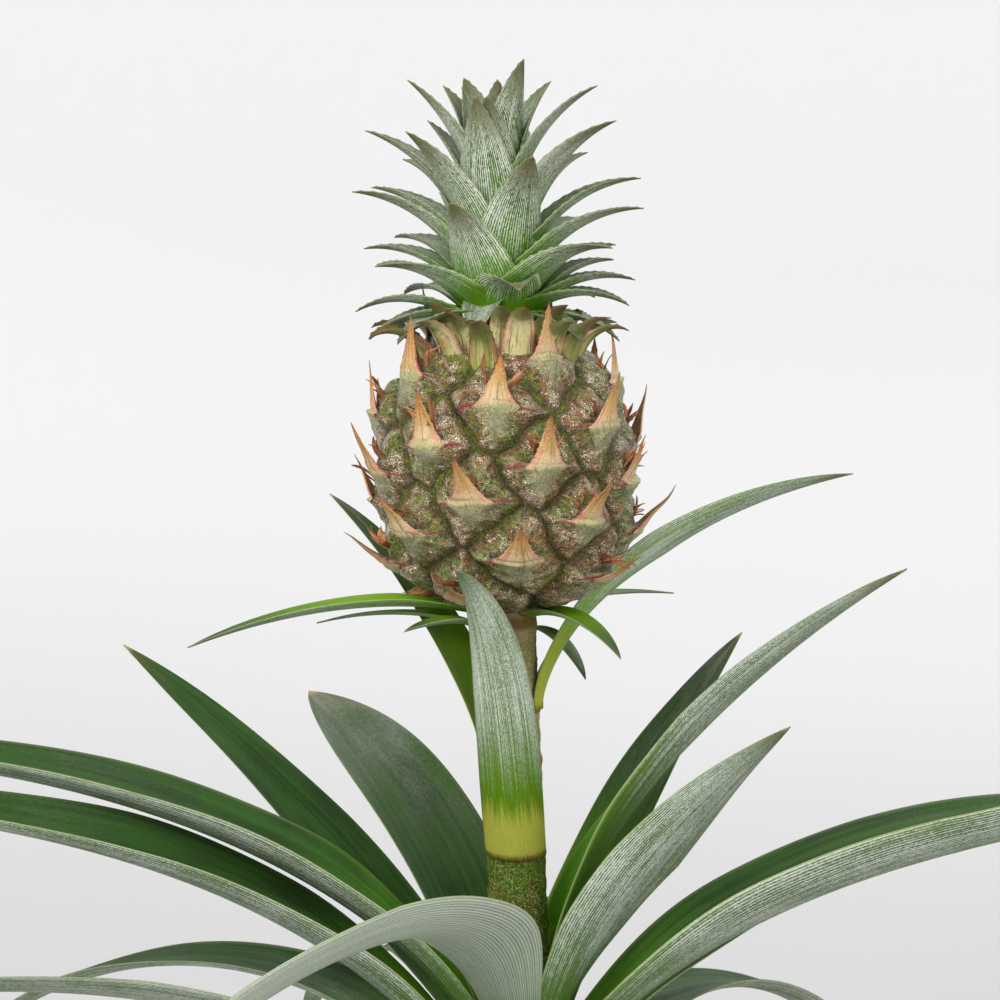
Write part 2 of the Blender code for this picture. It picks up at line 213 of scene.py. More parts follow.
STALK_LEAVES = [
    Leaf(-92, 207, 81, 40, 95, 20.5, 2.5, channel=55, taper=4.2, foot=1.1, sweep=-31, lean=0.07),
    Leaf(154, 233, 88, 38, 90, 19, 0.60, roll=-10, foot=0.5, lean=0.03),
    Leaf(5, 249, 88, 9, 118, 16, 0.50, roll=-44, foot=0.9, lean=0.03),
    Leaf(191, 276, 16, -20, 84, 14, 0.70, roll=2, channel=45, foot=0.6),
    Leaf(-150, 272.5, 24, -14, 26, 10, 0.70, channel=40, foot=0.7),
    Leaf(-40, 276, 18, -46, 35, 12, 0.90, foot=0.8),
    Leaf(46, 271, 0, -56, 31, 9, 0.50, foot=0.8),
    Leaf(32, 276, 14, -8, 49, 7, 0.70, foot=0.8),
    Leaf(180, 271.5, 24, -14, 47, 6, 0.70, foot=0.8),
]

# Rows of azimuth, height, rise, droop, length and width. The first CROWN_NODES leaves have a node
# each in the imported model, and the rest fill the spiral.
CROWN = [Leaf(*row, bend=1.0) for row in (
    (-38, 397, 86, 72, 34, 17), (122, 397.5, 82, 56, 30, 14), (28, 396, 82, 46, 32, 14),
    (188, 391, 80, 42, 39, 16), (-2, 390, 80, 28, 42, 17), (-110, 383, 80, 76, 38, 17),
    (170, 378, 74, 20, 46, 17), (-24, 376, 80, 22, 50, 20), (10, 373, 65, 5, 44, 16),
    (-150, 374, 80, 40, 43, 20), (-64, 368, 82, 50, 40, 20), (190, 368, 70, 6, 44, 18),
    (-14, 367, 64, 2, 43, 17), (-121, 363, 73, 48, 33, 19), (-36, 362, 62, -4, 37, 19),
    (20, 359, 60, 0, 32, 14), (166, 363, 58, -8, 36, 14), (207, 360, 54, -4, 34, 20),
    (-78, 360, 76, -30, 23, 19), (0, 359.5, 50, -14, 33, 14), (184, 356, 44, -28, 34, 13),
    (72, 383, 75, 25, 38, 16), (116, 371, 66, 6, 38, 16), (66, 362, 55, -10, 34, 15),
    (146, 396, 82, 50, 30, 13), (156, 390, 70, 45, 28, 13), (60, 396, 82, 60, 26, 12),
    (-170, 399, 86, 74, 24, 11), (-80, 399, 86, 78, 26, 12), (160, 374, 60, 8, 38, 15),
    (40, 378, 72, 14, 40, 15), (95, 378, 74, 16, 38, 16), (138, 377, 70, 12, 40, 16),
    (90, 366, 58, -4, 36, 15), (48, 368, 60, 0, 36, 15), (140, 365, 58, -6, 36, 15),
    (-98, 391, 84, 70, 30, 14), (12, 366, 50, 2, 30, 14), (-10, 360, 38, -28, 30, 14),
    (104, 360, 50, -16, 32, 14), (136, 358, 46, -24, 32, 14), (44, 357, 46, -24, 32, 14),
    (-115, 363, 0, -84, 14, 10), (188, 358, 20, -40, 30, 13), (-155, 358, 20, -48, 25, 13),
    (-35, 358, 20, -50, 21, 12), (-8, 358, 20, -45, 27, 12), (76, 357, 24, -46, 26, 13),
    (118, 357, 22, -48, 26, 13),
)]
CROWN[SCRAP] = CROWN[SCRAP]._replace(bend=0.8, fresh=-0.8)
CROWN_SHAPE = dict(channel=40, taper=1.8, foot=0.95, lean=LEAN_SLOPE)

# Pale bracts that stand on the shoulder of the fruit, under the lowest crown leaves.
NECK_BRACTS = [Leaf(*row) for row in (
    (-78, 345, 88, 6, 21, 11, 1.7), (-103, 344, 84, -8, 21, 9, 1.6), (-54, 344, 84, -4, 21, 10, 1.6),
    (-31, 344, 82, -4, 22, 9, 1.6), (-11, 344, 80, -26, 22, 9, 1.5), (14, 344, 80, -10, 19, 11, 1.7),
    (40, 344, 82, 6, 18, 11, 1.8), (66, 344, 82, -4, 18, 11, 1.8), (92, 344, 84, 8, 18, 12, 1.8),
    (120, 344, 82, -6, 19, 11, 1.8), (147, 344, 80, -20, 20, 10, 1.7), (172, 344, 80, -30, 22, 9, 1.5),
    (199, 344, 78, -36, 25, 10, 1.3), (230, 344, 80, -14, 22, 10, 1.6), (-68, 346, 88, 60, 15, 10, 2.0),
    (-118, 346, 88, 50, 15, 10, 2.0), (-22, 346, 86, 40, 15, 10, 2.0), (28, 346, 86, 40, 15, 11, 2.0),
    (78, 346, 86, 46, 15, 11, 2.0), (133, 346, 86, 40, 15, 11, 2.0), (186, 346, 86, 36, 15, 10, 2.0),
    (-90, 346, 88, 20, 19, 12, 1.8), (-43, 346, 86, 16, 19, 12, 1.8), (-130, 346, 86, 16, 19, 12, 1.8),
    (4, 346, 86, 20, 18, 12, 1.8), (53, 346, 86, 20, 18, 12, 1.8), (105, 346, 86, 20, 18, 12, 1.8),
    (160, 346, 86, 16, 19, 12, 1.8), (214, 346, 86, 16, 20, 12, 1.8),
)]
# The first NECK_OUTER of them stand on the outer of two rings.
NECK_OUTER = 14
NECK_RADII = (21.0, 15.0)


# ---------------------------------------------------------------- numbers and meshes

def smooth_step(value):
    value = np.clip(value, 0.0, 1.0)
    return value * value * (3.0 - 2.0 * value)


def blend(start, end, share):
    return start + (end - start) * np.clip(share, 0.0, 1.0)


def axis_x(height):
    """The x of the plant's axis, which leans from LEAN_START upwards."""
    return -LEAN_SLOPE * np.maximum(0.0, height - LEAN_START)


def stem_radius(height):
    return blend(*STEM_RADII, (height - SOIL_LEVEL) / (STEM_HIGH[2] - SOIL_LEVEL))


def stalk_radius(height):
    return blend(*STALK_RADII, (height - STEM_HIGH[2]) / (STALK_HIGH[2] - STEM_HIGH[2]))


def core_radius(height):
    return blend(*CORE_RADII, (height - CORE_LOW[2]) / (CORE_HIGH[2] - CORE_LOW[2]))


def ripple(points, size, seed):
    """Smooth irregular waves of about the given size in millimetres, mostly between -1 and 1."""
    total = np.zeros(points.shape[:-1])
    for wave in range(6):
        turn = 2.4 * wave + seed
        tilt = 1.3 * math.sin(3.1 * wave + seed)
        level = math.cos(tilt)
        way = np.array([math.cos(turn) * level, math.sin(turn) * level, math.sin(tilt)])
        pace = (1.0 + 0.23 * wave) * 2.0 * math.pi / (size * 2.0)
        total += np.sin(points @ way * pace + 1.9 * wave * seed)
    return total / 2.6


def spread(number, salt=0.0):
    """An even but irregular share between 0 and 1 for a numbered piece."""
    return (GOLDEN_SHARE * (number + 1) + salt) % 1.0


def unit(way):
    return way / np.linalg.norm(way)


def round_quads(rows, sides):
    """Quads between the rows of a closed tube of points."""
    grid = np.arange(rows * sides).reshape(rows, sides)
    ahead = np.roll(grid, -1, 1)
    return np.stack([grid[:-1], ahead[:-1], ahead[1:], grid[1:]], -1).reshape(-1, 4)


class Bundle:
    """Points, faces and named values of one mesh, gathered shape by shape."""

    def __init__(self):
        self.points, self.faces, self.values, self.count = [], [], {}, 0

    def add(self, points, faces, **values):
        self.points.append(points)
        self.faces.append(faces + self.count)
        self.count += len(points)
        for key, value in values.items():
            self.values.setdefault(key, []).append(value)

    def shell(self, upper, lower, **values):
        """A closed sheet from two grids of points. Values are a pair of grids, upper and lower."""
        rows, columns = upper.shape[:2]
        grid = np.arange(rows * columns).reshape(rows, columns)
        under = grid + rows * columns
        a, b, c, d = grid[:-1, :-1], grid[1:, :-1], grid[1:, 1:], grid[:-1, 1:]
        parts = [np.stack([a, b, c, d], -1).reshape(-1, 4),
                 np.stack([a, d, c, b], -1).reshape(-1, 4) + rows * columns]
        for top, low, flip in ((grid[:, 0], under[:, 0], False), (grid[:, -1], under[:, -1], True),
                               (grid[0], under[0], True), (grid[-1], under[-1], False)):
            strip = np.stack([top[:-1], low[:-1], low[1:], top[1:]], -1)
            parts.append(strip[:, ::-1] if flip else strip)
        points = np.concatenate([upper.reshape(-1, 3), lower.reshape(-1, 3)])
        joined = {key: np.concatenate([top.reshape(-1, 3), low.reshape(-1, 3)])
                  for key, (top, low) in values.items()}
        self.add(points, np.concatenate(parts), **joined)

    def make(self, name, finish, slot, replaced=()):
        """The finished object: it rides on the plant and stands for the replaced nodes."""
        mesh = bpy.data.meshes.new(name)
        points = np.concatenate(self.points) * MM
        mesh.from_pydata(points, [], np.concatenate(self.faces).tolist())
        for key, parts in self.values.items():
            layer = mesh.attributes.new(key, "FLOAT_VECTOR", "POINT")
            layer.data.foreach_set("vector", np.concatenate(parts).astype(np.float32).ravel())
        mesh.shade_smooth()
        mesh.materials.append(finish)
        piece = bpy.data.objects.new(name, mesh)
        bpy.context.scene.collection.objects.link(piece)
        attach(piece, BODY)
        if replaced:
            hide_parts(*replaced)


def turned(profile, sides, reach=None):
    """Points and quads of a surface turned about the plant's axis, from (radius, height) pairs."""
    radii, heights = np.array(profile, float).T
    angle = 2.0 * math.pi * np.arange(sides) / sides
    radius = np.repeat(radii[:, None], sides, 1)
    if reach is not None:
        radius = reach(radius, heights[:, None], angle[None, :])
    centre = axis_x(heights)[:, None]
    level = np.repeat(heights[:, None], sides, 1)
    points = np.stack([centre + radius * np.cos(angle), radius * np.sin(angle), level], -1)
    return points.reshape(-1, 3), round_quads(len(radii), sides)


# ---------------------------------------------------------------- materials

class Reading:
    """A number or colour inside a material. Sums with it add the nodes that work them out."""

    def __init__(self, finish, socket):
        self.finish, self.socket = finish, socket

    def __add__(self, other):
        return self.finish.math("ADD", self, other)

    def __sub__(self, other):
        return self.finish.math("SUBTRACT", self, other)

    def __rsub__(self, other):
        return self.finish.math("SUBTRACT", other, self)

    def __mul__(self, other):
        return self.finish.math("MULTIPLY", self, other)

    def __abs__(self):
        return self.finish.math("ABSOLUTE", self)

    __radd__ = __add__
    __rmul__ = __mul__

    def ramp(self, low, high):
        """0 below low and 1 above high, with a smooth step between."""
        return self.finish.node("ShaderNodeMapRange", "Result", interpolation_type="SMOOTHSTEP",
                                inputs={"Value": self, "From Min": low, "From Max": high})

    def fade(self, low, high):
        """1 below low and 0 above high."""
        return 1.0 - self.ramp(low, high)


class Finish:
    """Wires one procedural material round its Principled shader, with colours called by name."""

    def __init__(self, name, tint, roughness, specular):
        self.material = bpy.data.materials.new(name)
        self.material.use_nodes = True
        self.tree, self.tint = self.material.node_tree, tint
        self.shader = self.tree.nodes["Principled BSDF"].inputs
        self.put(self.shader["Specular IOR Level"], specular)
        self.rough(roughness)

    def put(self, socket, value):
        if isinstance(value, Reading):
            self.tree.links.new(value.socket, socket)
        elif isinstance(value, str):
            socket.default_value = (*self.tint[value], 1.0)
        else:
            socket.default_value = value

    def rough(self, value):
        self.put(self.shader["Roughness"], value)

    def node(self, kind, output, inputs=None, **settings):
        made = self.tree.nodes.new(kind)
        for key, value in settings.items():
            setattr(made, key, value)
        for key, value in (inputs or {}).items():
            self.put(made.inputs[key], value)
        return Reading(self, made.outputs[output])

    def place(self):
        return self.node("ShaderNodeTexCoord", "Object")

    def value(self, name):
        return self.split(self.node("ShaderNodeAttribute", "Vector", attribute_name=name))

    def split(self, vector):
        parts = self.node("ShaderNodeSeparateXYZ", 0, {0: vector}).socket.node.outputs
        return [Reading(self, part) for part in parts]

    def math(self, operation, *numbers):
        return self.node("ShaderNodeMath", 0, dict(enumerate(numbers)), operation=operation)

    def noise(self, place, scale=1.0, detail=2.0, roughness=0.5, distortion=0.0):
        """Noise at a place, which is a vector or three numbers."""
        if isinstance(place, tuple):
            place = self.node("ShaderNodeCombineXYZ", 0, dict(enumerate(place)))
        return self.node("ShaderNodeTexNoise", "Fac", {"Vector": place, "Scale": scale, "Detail": detail,
                                                       "Roughness": roughness, "Distortion": distortion})

    def mix(self, share, first, second):
        return self.node("ShaderNodeMix", 2, {0: share, 6: first, 7: second}, data_type="RGBA")

    def base(self, share, first, second):
        """The colour that all coats are laid on."""
        self.colour = self.mix(share, first, second)

    def coat(self, share, colour):
        """Lays a colour over those before it, as thickly as its share says."""
        self.colour = self.mix(share, self.colour, colour)

    def done(self, height=None, strength=1.0, millimetres=1.0):
        """Hands over the material with its colour and its relief."""
        self.put(self.shader["Base Color"], self.colour)
        if height:
            self.put(self.shader["Normal"], self.node("ShaderNodeBump", "Normal", {
                "Height": height, "Strength": strength, "Distance": millimetres * MM}))
        return self.material


def leaf_finish(name, tint, lines=36.0, cover=(0.1, 0.34), veil=1.0, foot=(0.02, 0.05),
                lime=(0.05, 0.3), under_lime=1.0, tip=(0.72, 1.0), stripes=0.34, dashes=0.5, bare=0.85,
                both=0.0, soft=0.22):
    """Green blade: fine pale lines of scales below, smooth and dark above with a painted sheen towards
    the tip, lime foot, dry tip. A blade with full bloom gets pale frosted lines, partly painted light.
    """
    f = Finish(name, tint, 0.5, 0.12)
    across, along, tone = f.value("leaf_share")
    wide, far, under = f.value("leaf_size")
    bloom, fresh, _ = f.value("leaf_look")
    sway = f.noise((across * 3.0, far * 0.02, tone * 40.0))
    phase = across * (lines * math.pi) + sway * 4.0
    line = 0.5 + f.math("COSINE", phase) * 0.5
    vein = f.noise((across * (lines * 0.5), far * 0.012, tone * 30.0), detail=1.0)
    dash = f.noise((across * (lines * 0.8), far * 0.8, tone * 90.0), detail=1.0)
    speck = f.noise((wide * 3.6, far * 3.6, tone * 50.0), detail=1.0)
    patch = f.noise((across * 1.6, far * 0.05, tone * 70.0), detail=3.0)
    ribs = f.noise((across * 9.0, far * 0.02, tone * 30.0))
    below = under.ramp(0.3, 0.7)
    started = along - fresh + (vein - 0.5) * 0.3 + (dash - 0.5) * 0.15
    covered = started.ramp(*cover) * (1.0 - along.ramp(bare, 1.0) * 0.7)
    scales = line * stripes + vein * 0.6 + dash * dashes + speck * 0.9 + patch * 0.5
    middle = 0.5 * (stripes + dashes) + 1.0
    # Frost: on a blade with bloom near 1 the scale lines turn a pale frost, partly waxy bloom and partly
    # painted light on its shaded underside.
    frost = bloom.ramp(0.7, 1.0)
    scales = scales.ramp(middle + 0.02 - soft, middle + 0.02 + soft) * covered * veil
    bloom_and_sheen = (0.2 + vein.ramp(0.35, 0.6) * 0.12 + line.ramp(0.1, 0.5) * 0.42
               + speck.ramp(0.35, 0.6) * 0.2) * frost * along.ramp(0.0, 0.12)
    scales = f.math("MAXIMUM", scales * (1.0 - frost), bloom_and_sheen)
    beneath = f.mix(patch.ramp(0.3, 0.7), "under_green", "under_deep")
    beneath = f.mix((1.0 - line) * 0.5, beneath, "line_green")
    above = f.mix((ribs * 0.6 + patch * 0.4).ramp(0.36, 0.66), "upper_green", "upper_deep")
    # Painted sheen, partly waxy bloom: the upper side is laid paler in patches towards the tip, more on
    # blades with more bloom.
    haze = (patch * 0.4 + dash * 0.25 + bloom * 0.75).ramp(0.5, 1.0) * along.ramp(0.3, 0.95)
    f.base(below, above, beneath)
    ragged = along + (ribs - 0.5) * 0.09 + (vein - 0.5) * 0.12 + (dash - 0.5) * 0.05
    green = (ragged - fresh).fade(*lime)
    f.coat(green * (0.95 + below * (under_lime - 0.95)), "lime")
    pale = ragged.fade(*foot)
    f.coat(pale, "foot")
    f.coat(pale * speck.ramp(0.48, 0.7) * 0.35, "lime")
    f.coat(pale * patch.ramp(0.5, 0.7) * 0.28, "joint")
    joint = (far + speck * 1.2 - (vein - 0.5) * 3.0).fade(0.9, 2.2)
    f.coat(joint * (0.3 + vein.ramp(0.42, 0.6) * 0.6), "joint")
    dry = (along + (patch - 0.5) * 0.5).ramp(*tip) * 0.8
    f.coat(dry, "tip")
    f.coat(scales * f.math("MAXIMUM", below, both) * (1.0 - dry * 0.7), f.mix(frost, "scales", "frost"))
    f.coat(haze * (1.0 - below) * (1.0 - frost * 0.75), "haze")
    f.coat(abs(across).ramp(0.93, 1.0) * (0.2 + below * 0.4), "rim")
    f.coat(along.ramp(0.975, 0.995) * 0.7, "spike")
    f.rough(0.4 + scales * 0.3 + under * 0.12 + speck * 0.08)
    height = line * 0.5 + scales * 0.4 + speck * 0.3 + ribs * 0.9 + vein * 0.5
    return f.done(height, 0.28 + under * 0.3, 0.35)


def rind_finish(tint):
    """Fruitlets: olive to purple brown with silvery scales, a pale fan below each bract, thin seams, a
    painted sheen in the middle of each facet, painted shade in the seams and a painted shadow under each
    bract's point.
    """
    f = Finish("fruit_rind", tint, 0.4, 0.6)
    across, up, tone = f.value("eye_place")
    edge, crease, _ = f.value("eye_edge")
    place = f.place()
    cloud = f.noise(place, 120.0, 3.0, 0.6)
    blotch = f.noise(place, 350.0, 2.0, 0.6)
    grain = f.noise(place, 1000.0, 2.0, 0.6)
    fine = f.noise(place, 3400.0, 0.0)
    aside = abs(across)
    turn = abs(f.math("ARCTAN2", across, up + 2.0))
    away = f.math("SQRT", across * across + up * up)
    rays = f.noise((turn * 7.0, away * 0.22, tone * 45.0), 1.0, 2.0, 0.65)
    facet = f.noise((across * 0.16, up * 0.16, tone * 31.0))
    purple = (cloud * 0.5 + facet * 0.7 + (tone - 0.5) * 0.25 + (blotch - 0.5) * 0.4).ramp(0.54, 0.74)
    f.base(purple, "rind_green", "rind_purple")
    # Painted sheen: the middle of each facet is laid a paler grey green, as if it caught the light.
    facet_sheen = (blotch * 0.5 + rays * 0.5).ramp(0.44, 0.6) * edge.ramp(1.2, 4.0)
    f.coat(facet_sheen * 0.6, "rind_sheen")
    dark = (grain * 0.6 + rays * 0.4).ramp(0.45, 0.6)
    f.coat(dark * 0.88, "rind_dark")
    ridge = crease.fade(0.1, 0.8) * edge.ramp(0.6, 2.2)
    f.coat(ridge * 0.4, "rind_ridge")
    thick = (cloud * 0.5 + blotch * 0.5 + (1.0 - rays) * 0.3).ramp(0.56, 0.78)
    dashes = f.noise((turn * 15.0, away * 0.9, tone * 77.0), 1.0, 2.0, 0.7)
    silver = (fine * 0.8 + dashes * 0.2 + thick * 0.16).ramp(0.61, 0.72)
    silver = silver * (0.5 + thick * 0.5) * edge.ramp(0.1, 1.0)
    f.coat(silver * 0.9, "rind_scales")
    share = f.math("DIVIDE", aside, f.math("MAXIMUM", 5.6 + up * 0.42, 0.5))
    strands = f.noise((share * 5.0, up * 0.1, tone * 70.0), 1.0, 2.0, 0.6)
    fan = (share + (cloud - 0.5) * 0.7).fade(0.5, 1.2) * edge.ramp(0.0, 1.2)
    fan = fan * up.ramp(-10.0, -1.5) * up.fade(0.4, 1.0)
    pale = f.mix(up.ramp(-4.5, -0.5) * 0.5, "bract_pale", "bract_cream")
    f.coat(fan * (0.55 + strands.ramp(0.36, 0.6) * 0.45), pale)
    # Painted shadow: the rind just under each bract's point is darkened.
    under = up.ramp(0.3, 0.7) * up.fade(0.9, 3.2) * aside.fade(5.0, 8.0)
    f.coat(under * 0.7, "rind_dark")
    # Painted shade: darker down in the groove of each seam.
    f.coat(edge.fade(0.1, 2.2) * 0.8, "seam_shade")
    waver = up + (blotch - 0.5) * 1.6 + aside * 0.06
    lip = abs(waver).fade(0.15, 0.6) * aside.fade(9.0, 11.0) * edge.ramp(0.1, 0.6)
    f.coat(lip * cloud.ramp(0.3, 0.44) * 0.9, "crimson")
    broken = f.noise(place, 75.0, 1.0).ramp(0.44, 0.56)
    ragged = edge + (grain - 0.5) * 1.1 + (blotch - 0.5) * 1.3
    seam = ragged.fade(0.2, 0.65)
    f.coat(seam * (0.15 + broken * 0.85), "seam_green")
    f.rough(0.08 + grain * 0.38)
    height = silver * 0.7 + grain * 0.9 + fine * 0.7 + blotch * 0.8 + rays * 1.2 + strands * fan * 1.2
    return f.done(height, 1.0, 0.8)


def bract_finish(tint):
    """Point of a fruit bract: cream and pink foot with fine strands, crimson margin, orange tip."""
    f = Finish("fruit_bract", tint, 0.5, 0.3)
    across, along, tone = f.value("bract_share")
    _, up, _ = f.value("bract_size")
    place = f.place()
    grain = f.noise(place, 1000.0, 2.0, 0.6)
    fine = f.noise(place, 2400.0, 1.0, 0.6)
    cloud = f.noise(place, 170.0)
    strands = f.noise((across * 6.0, up * 0.09, tone * 80.0), 1.0, 3.0, 0.65)
    aside = abs(across)
    climb = up + (strands - 0.5) * 6.0 + (cloud - 0.5) * 6.0 + (tone - 0.5) * 4.0
    f.base(climb.ramp(-0.5, 3.5), "bract_cream", "bract_tan")
    f.coat(climb.ramp(3.5, 9.0), "bract_orange")
    foot = (up + (strands - 0.5) * 5.0).fade(-1.5, 2.0)
    f.coat(f.math("MAXIMUM", foot, up.fade(-1.6, -0.2)), "bract_foot")
    f.coat(strands.ramp(0.5, 0.66) * 0.7, "bract_line")
    f.coat((1.0 - strands).ramp(0.52, 0.7) * 0.55, "bract_cream")
    f.coat((grain * 0.6 + cloud * 0.5).ramp(0.56, 0.72) * 0.45, "bract_green")
    blush = (aside + (cloud - 0.5) * 0.6).ramp(0.35, 0.95) * up.fade(2.0, 6.0) * up.ramp(-0.8, 0.6)
    f.coat(blush * 0.7, "bract_pink")
    side = (aside + (grain - 0.5) * 0.3).ramp(0.82, 0.97) * up.fade(1.5, 7.0)
    f.coat(side * (cloud + (tone - 0.5) * 0.3).ramp(0.38, 0.55), "crimson")
    f.coat(along.ramp(0.9, 1.0) * 0.7, "flower_dark")
    worn = up.fade(-2.0, 0.5)
    f.coat(strands.ramp(0.5, 0.64) * worn * 0.5, "rind_green")
    f.coat(fine.ramp(0.56, 0.7) * (0.3 + worn * 0.2), "rind_scales")
    f.rough(0.4 + grain * 0.25)
    return f.done(strands * 1.4 + grain * 0.5 + fine * 0.3, 0.9, 0.5)


def neck_finish(tint):
    """Neck bract: cream and pale green strands, pink to crimson edges and a dry folded top."""
    f = Finish("neck_bract", tint, 0.5, 0.3)
    across, along, tone = f.value("bract_share")
    _, far, _ = f.value("bract_size")
    place = f.place()
    grain = f.noise(place, 1100.0, 2.0, 0.6)
    cloud = f.noise(place, 150.0)
    strands = f.noise((across * 8.0, far * 0.05, tone * 60.0), 1.0, 3.0, 0.7)
    f.base((strands + (tone - 0.5) * 0.3).ramp(0.4, 0.56), "neck_pale", "neck_green")
    f.coat(cloud.ramp(0.46, 0.64) * 0.6, "bract_tan")
    f.coat(strands.ramp(0.54, 0.66) * 0.85, "bract_line")
    aside = abs(across) + (cloud - 0.5) * 0.6
    f.coat(aside.ramp(0.45, 0.9) * 0.7, "bract_pink")
    f.coat(aside.ramp(0.78, 0.98) * 0.55, "crimson")
    high = along + (cloud - 0.5) * 0.6 + (tone - 0.5) * 0.3
    f.coat(high.ramp(0.4, 0.62) * 0.85, "neck_leafy")
    f.coat(high.ramp(0.66, 0.9) * 0.85, "neck_dry")
    f.coat(along.fade(0.1, 0.45) * 0.25, "neck_green")
    f.coat(grain.ramp(0.56, 0.7) * 0.4, "rind_dark")
    return f.done(strands * 1.5 + grain * 0.5, 0.9, 0.5)


def flower_finish(tint):
    """Withered flower remains: brown, orange where thin, wrinkled along their length."""
    f = Finish("dried_flower", tint, 0.6, 0.35)
    across, along, tone = f.value("bract_share")
    place = f.place()
    wrinkle = f.noise((across * 2.5, along * 3.0, tone * 60.0), 1.0, 3.0, 0.6)
    grain = f.noise(place, 1400.0)
    f.base((wrinkle + (tone - 0.5) * 0.5).ramp(0.32, 0.62), "flower_orange", "flower_brown")
    f.coat(grain.ramp(0.5, 0.7) * 0.5, "flower_dark")
    f.coat(along.ramp(0.75, 1.0) * 0.5, "flower_dark")
    return f.done(wrinkle + grain * 0.4, 0.8, 0.4)


def scurf_finish(name, tint, rings):
    """Stalk and stem: green under a mottled brown scurf of pale scales, darker at the leaf scars."""
    f = Finish(name, tint, 0.72, 0.15)
    place = f.place()
    x, y, z = f.split(place)
    cloud = f.noise(place, 160.0)
    grain = f.noise((x, y, z * 0.8), 1400.0, 2.0, 0.6)
    fine = f.noise(place, 2600.0, 1.0)
    f.base(cloud.ramp(0.45, 0.66), "stalk_green", "stalk_brown")
    f.coat(grain.ramp(0.5, 0.64) * 0.75, "stalk_dark")
    flakes = (grain * -0.6 + fine * 0.9 + cloud * 0.15).ramp(0.27, 0.36)
    high = (z + (cloud - 0.5) * 0.02).ramp(0.208, 0.222)
    f.coat(high * (0.45 + cloud.ramp(0.4, 0.6) * 0.4), "stalk_pale")
    f.coat(flakes * (0.42 + high * 0.3), "stalk_scales")
    for height, width in rings:
        near = abs(z - height * MM + (cloud - 0.5) * 0.0012)
        f.coat(near.fade(0.3 * width * MM, width * MM) * 0.8, "scar")
    return f.done(grain + flakes * 0.6, 0.5, 0.3)


def soil_finish(tint):
    """Damp potting soil with fibres and pale grains."""
    f = Finish("potting_soil", tint, 0.9, 0.2)
    place = f.place()
    lump = f.noise(place, 260.0, 4.0, 0.7)
    grit = f.noise(place, 1300.0, 3.0, 0.7)
    x, y, z = f.split(place)
    fibre = f.noise((x * 3.0, y, z), 420.0, 2.0, 0.5, 1.5)
    f.base(lump.ramp(0.35, 0.7), "soil_dark", "soil_brown")
    f.coat(grit.ramp(0.55, 0.72) * 0.5, "soil_pale")
    f.coat(fibre.ramp(0.62, 0.7) * 0.5, "soil_fibre")
    return f.done(lump + grit * 0.7, 0.9, 1.2)


def pot_finish(tint):
    """Matte moulded plastic in a clay colour, with a fine grain, faint turning lines and scuffs."""
    f = Finish("pot_plastic", tint, 0.5, 0.45)
    place = f.place()
    x, y, z = f.split(place)
    grain = f.noise(place, 2200.0)
    cloud = f.noise(place, 28.0, 3.0, 0.6)
    rings = f.noise((0.0, 0.0, z), 900.0)
    scuff = f.noise((x, y, z * 0.25), 320.0, 3.0, 0.7, 0.6).ramp(0.62, 0.72)
    f.base(cloud.ramp(0.35, 0.65), "pot", "pot_deep")
    f.coat(scuff * 0.3, "pot_scuff")
    f.coat((z + cloud * 0.01).fade(0.004, 0.02) * 0.35, "pot_scuff")
    f.rough(0.42 + cloud * 0.12 + scuff * 0.2)
    return f.done(grain * 0.5 + rings * 0.4, 0.35, 0.25)


def grain_finish(tint):
    """White perlite with a little soil on it."""
    f = Finish("perlite", tint, 0.85, 0.3)
    grit = f.noise(f.place(), 1500.0, 3.0)
    f.base(grit.ramp(0.4, 0.65), "perlite", "soil_pale")
    return f.done(grit, 0.8, 0.4)


def floor_finish(tint):
    """Matt grey floor that pales outwards."""
    f = Finish("floor", tint, 0.9, 0.1)
    x, y, _ = f.split(f.place())
    away = f.math("SQRT", x * x + y * y)
    f.base(away.ramp(0.4, 2.8), "floor", "wall")
    return f.done()


def refinish(node, finish):
    """Gives its finish to a node that stays as it is packed."""
    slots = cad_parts[node].data.materials
    slots.clear()
    slots.append(finish)


# ---------------------------------------------------------------- soil and stem

def soil_height(radius):
    """The soil's level, which rises towards the stem."""
    inside, socket = SOIL_HIGH[0], STEM_RADII[0] + GAP
    return SOIL_LEVEL + SOIL_MOUND * (1.0 - (radius - socket) / (inside - socket))


def add_crumb(heap, draw, size, nearest, farthest):
    """One rough lump on the soil, from a small ball pushed in and out."""
    rings, sides = 6, 9
    polar = np.linspace(0.08, math.pi - 0.08, rings)[:, None]
    angle = 2.0 * math.pi * np.arange(sides)[None, :] / sides
    ball = np.stack([np.sin(polar) * np.cos(angle), np.sin(polar) * np.sin(angle),
                     -np.cos(polar) * np.ones((1, sides))], -1).reshape(-1, 3)
    ball *= (1.0 + 0.3 * ripple(ball, 0.9, draw.uniform(0.0, 9.0)))[:, None]
    ball *= size * draw.uniform(0.45, 0.8, 3)
    away = math.sqrt(draw.uniform(nearest ** 2, farthest ** 2))
    turn = draw.uniform(0.0, 2.0 * math.pi)
    ball += np.array([away * math.cos(turn), away * math.sin(turn), soil_height(away) + 0.3])
    heap.add(ball, round_quads(rings, sides))


def make_shaft(name, node, radius_at, rings, swell, finish, low, high):
    """A shaft with a swollen ring at every leaf scar. It stands for its node."""
    def reach(radius, height, angle):
        point = np.stack(np.broadcast_arrays(9.0 * np.cos(angle), 9.0 * np.sin(angle), height), -1)
        radius = radius + 0.12 * ripple(point, 5.0, 2.4) + 0.07 * ripple(point, 1.6, 4.4)
        for level, width in rings:
            near = (height - level + 0.35 * ripple(point, 14.0, level)) / width
            radius = radius + swell * np.exp(-near ** 2)
        return np.where(radius > 1.0, radius, 0.01)

    heights = np.linspace(low, high, int((high - low) / SHAFT_STEP))
    profile = [(0.01, low)] + [(float(radius_at(h)), float(h)) for h in heights] + [(0.01, high)]
    body = Bundle()
    body.add(*turned(profile, SHAFT_SIDES, reach))
    body.make(name, finish, node, [node])


# ---------------------------------------------------------------- blades

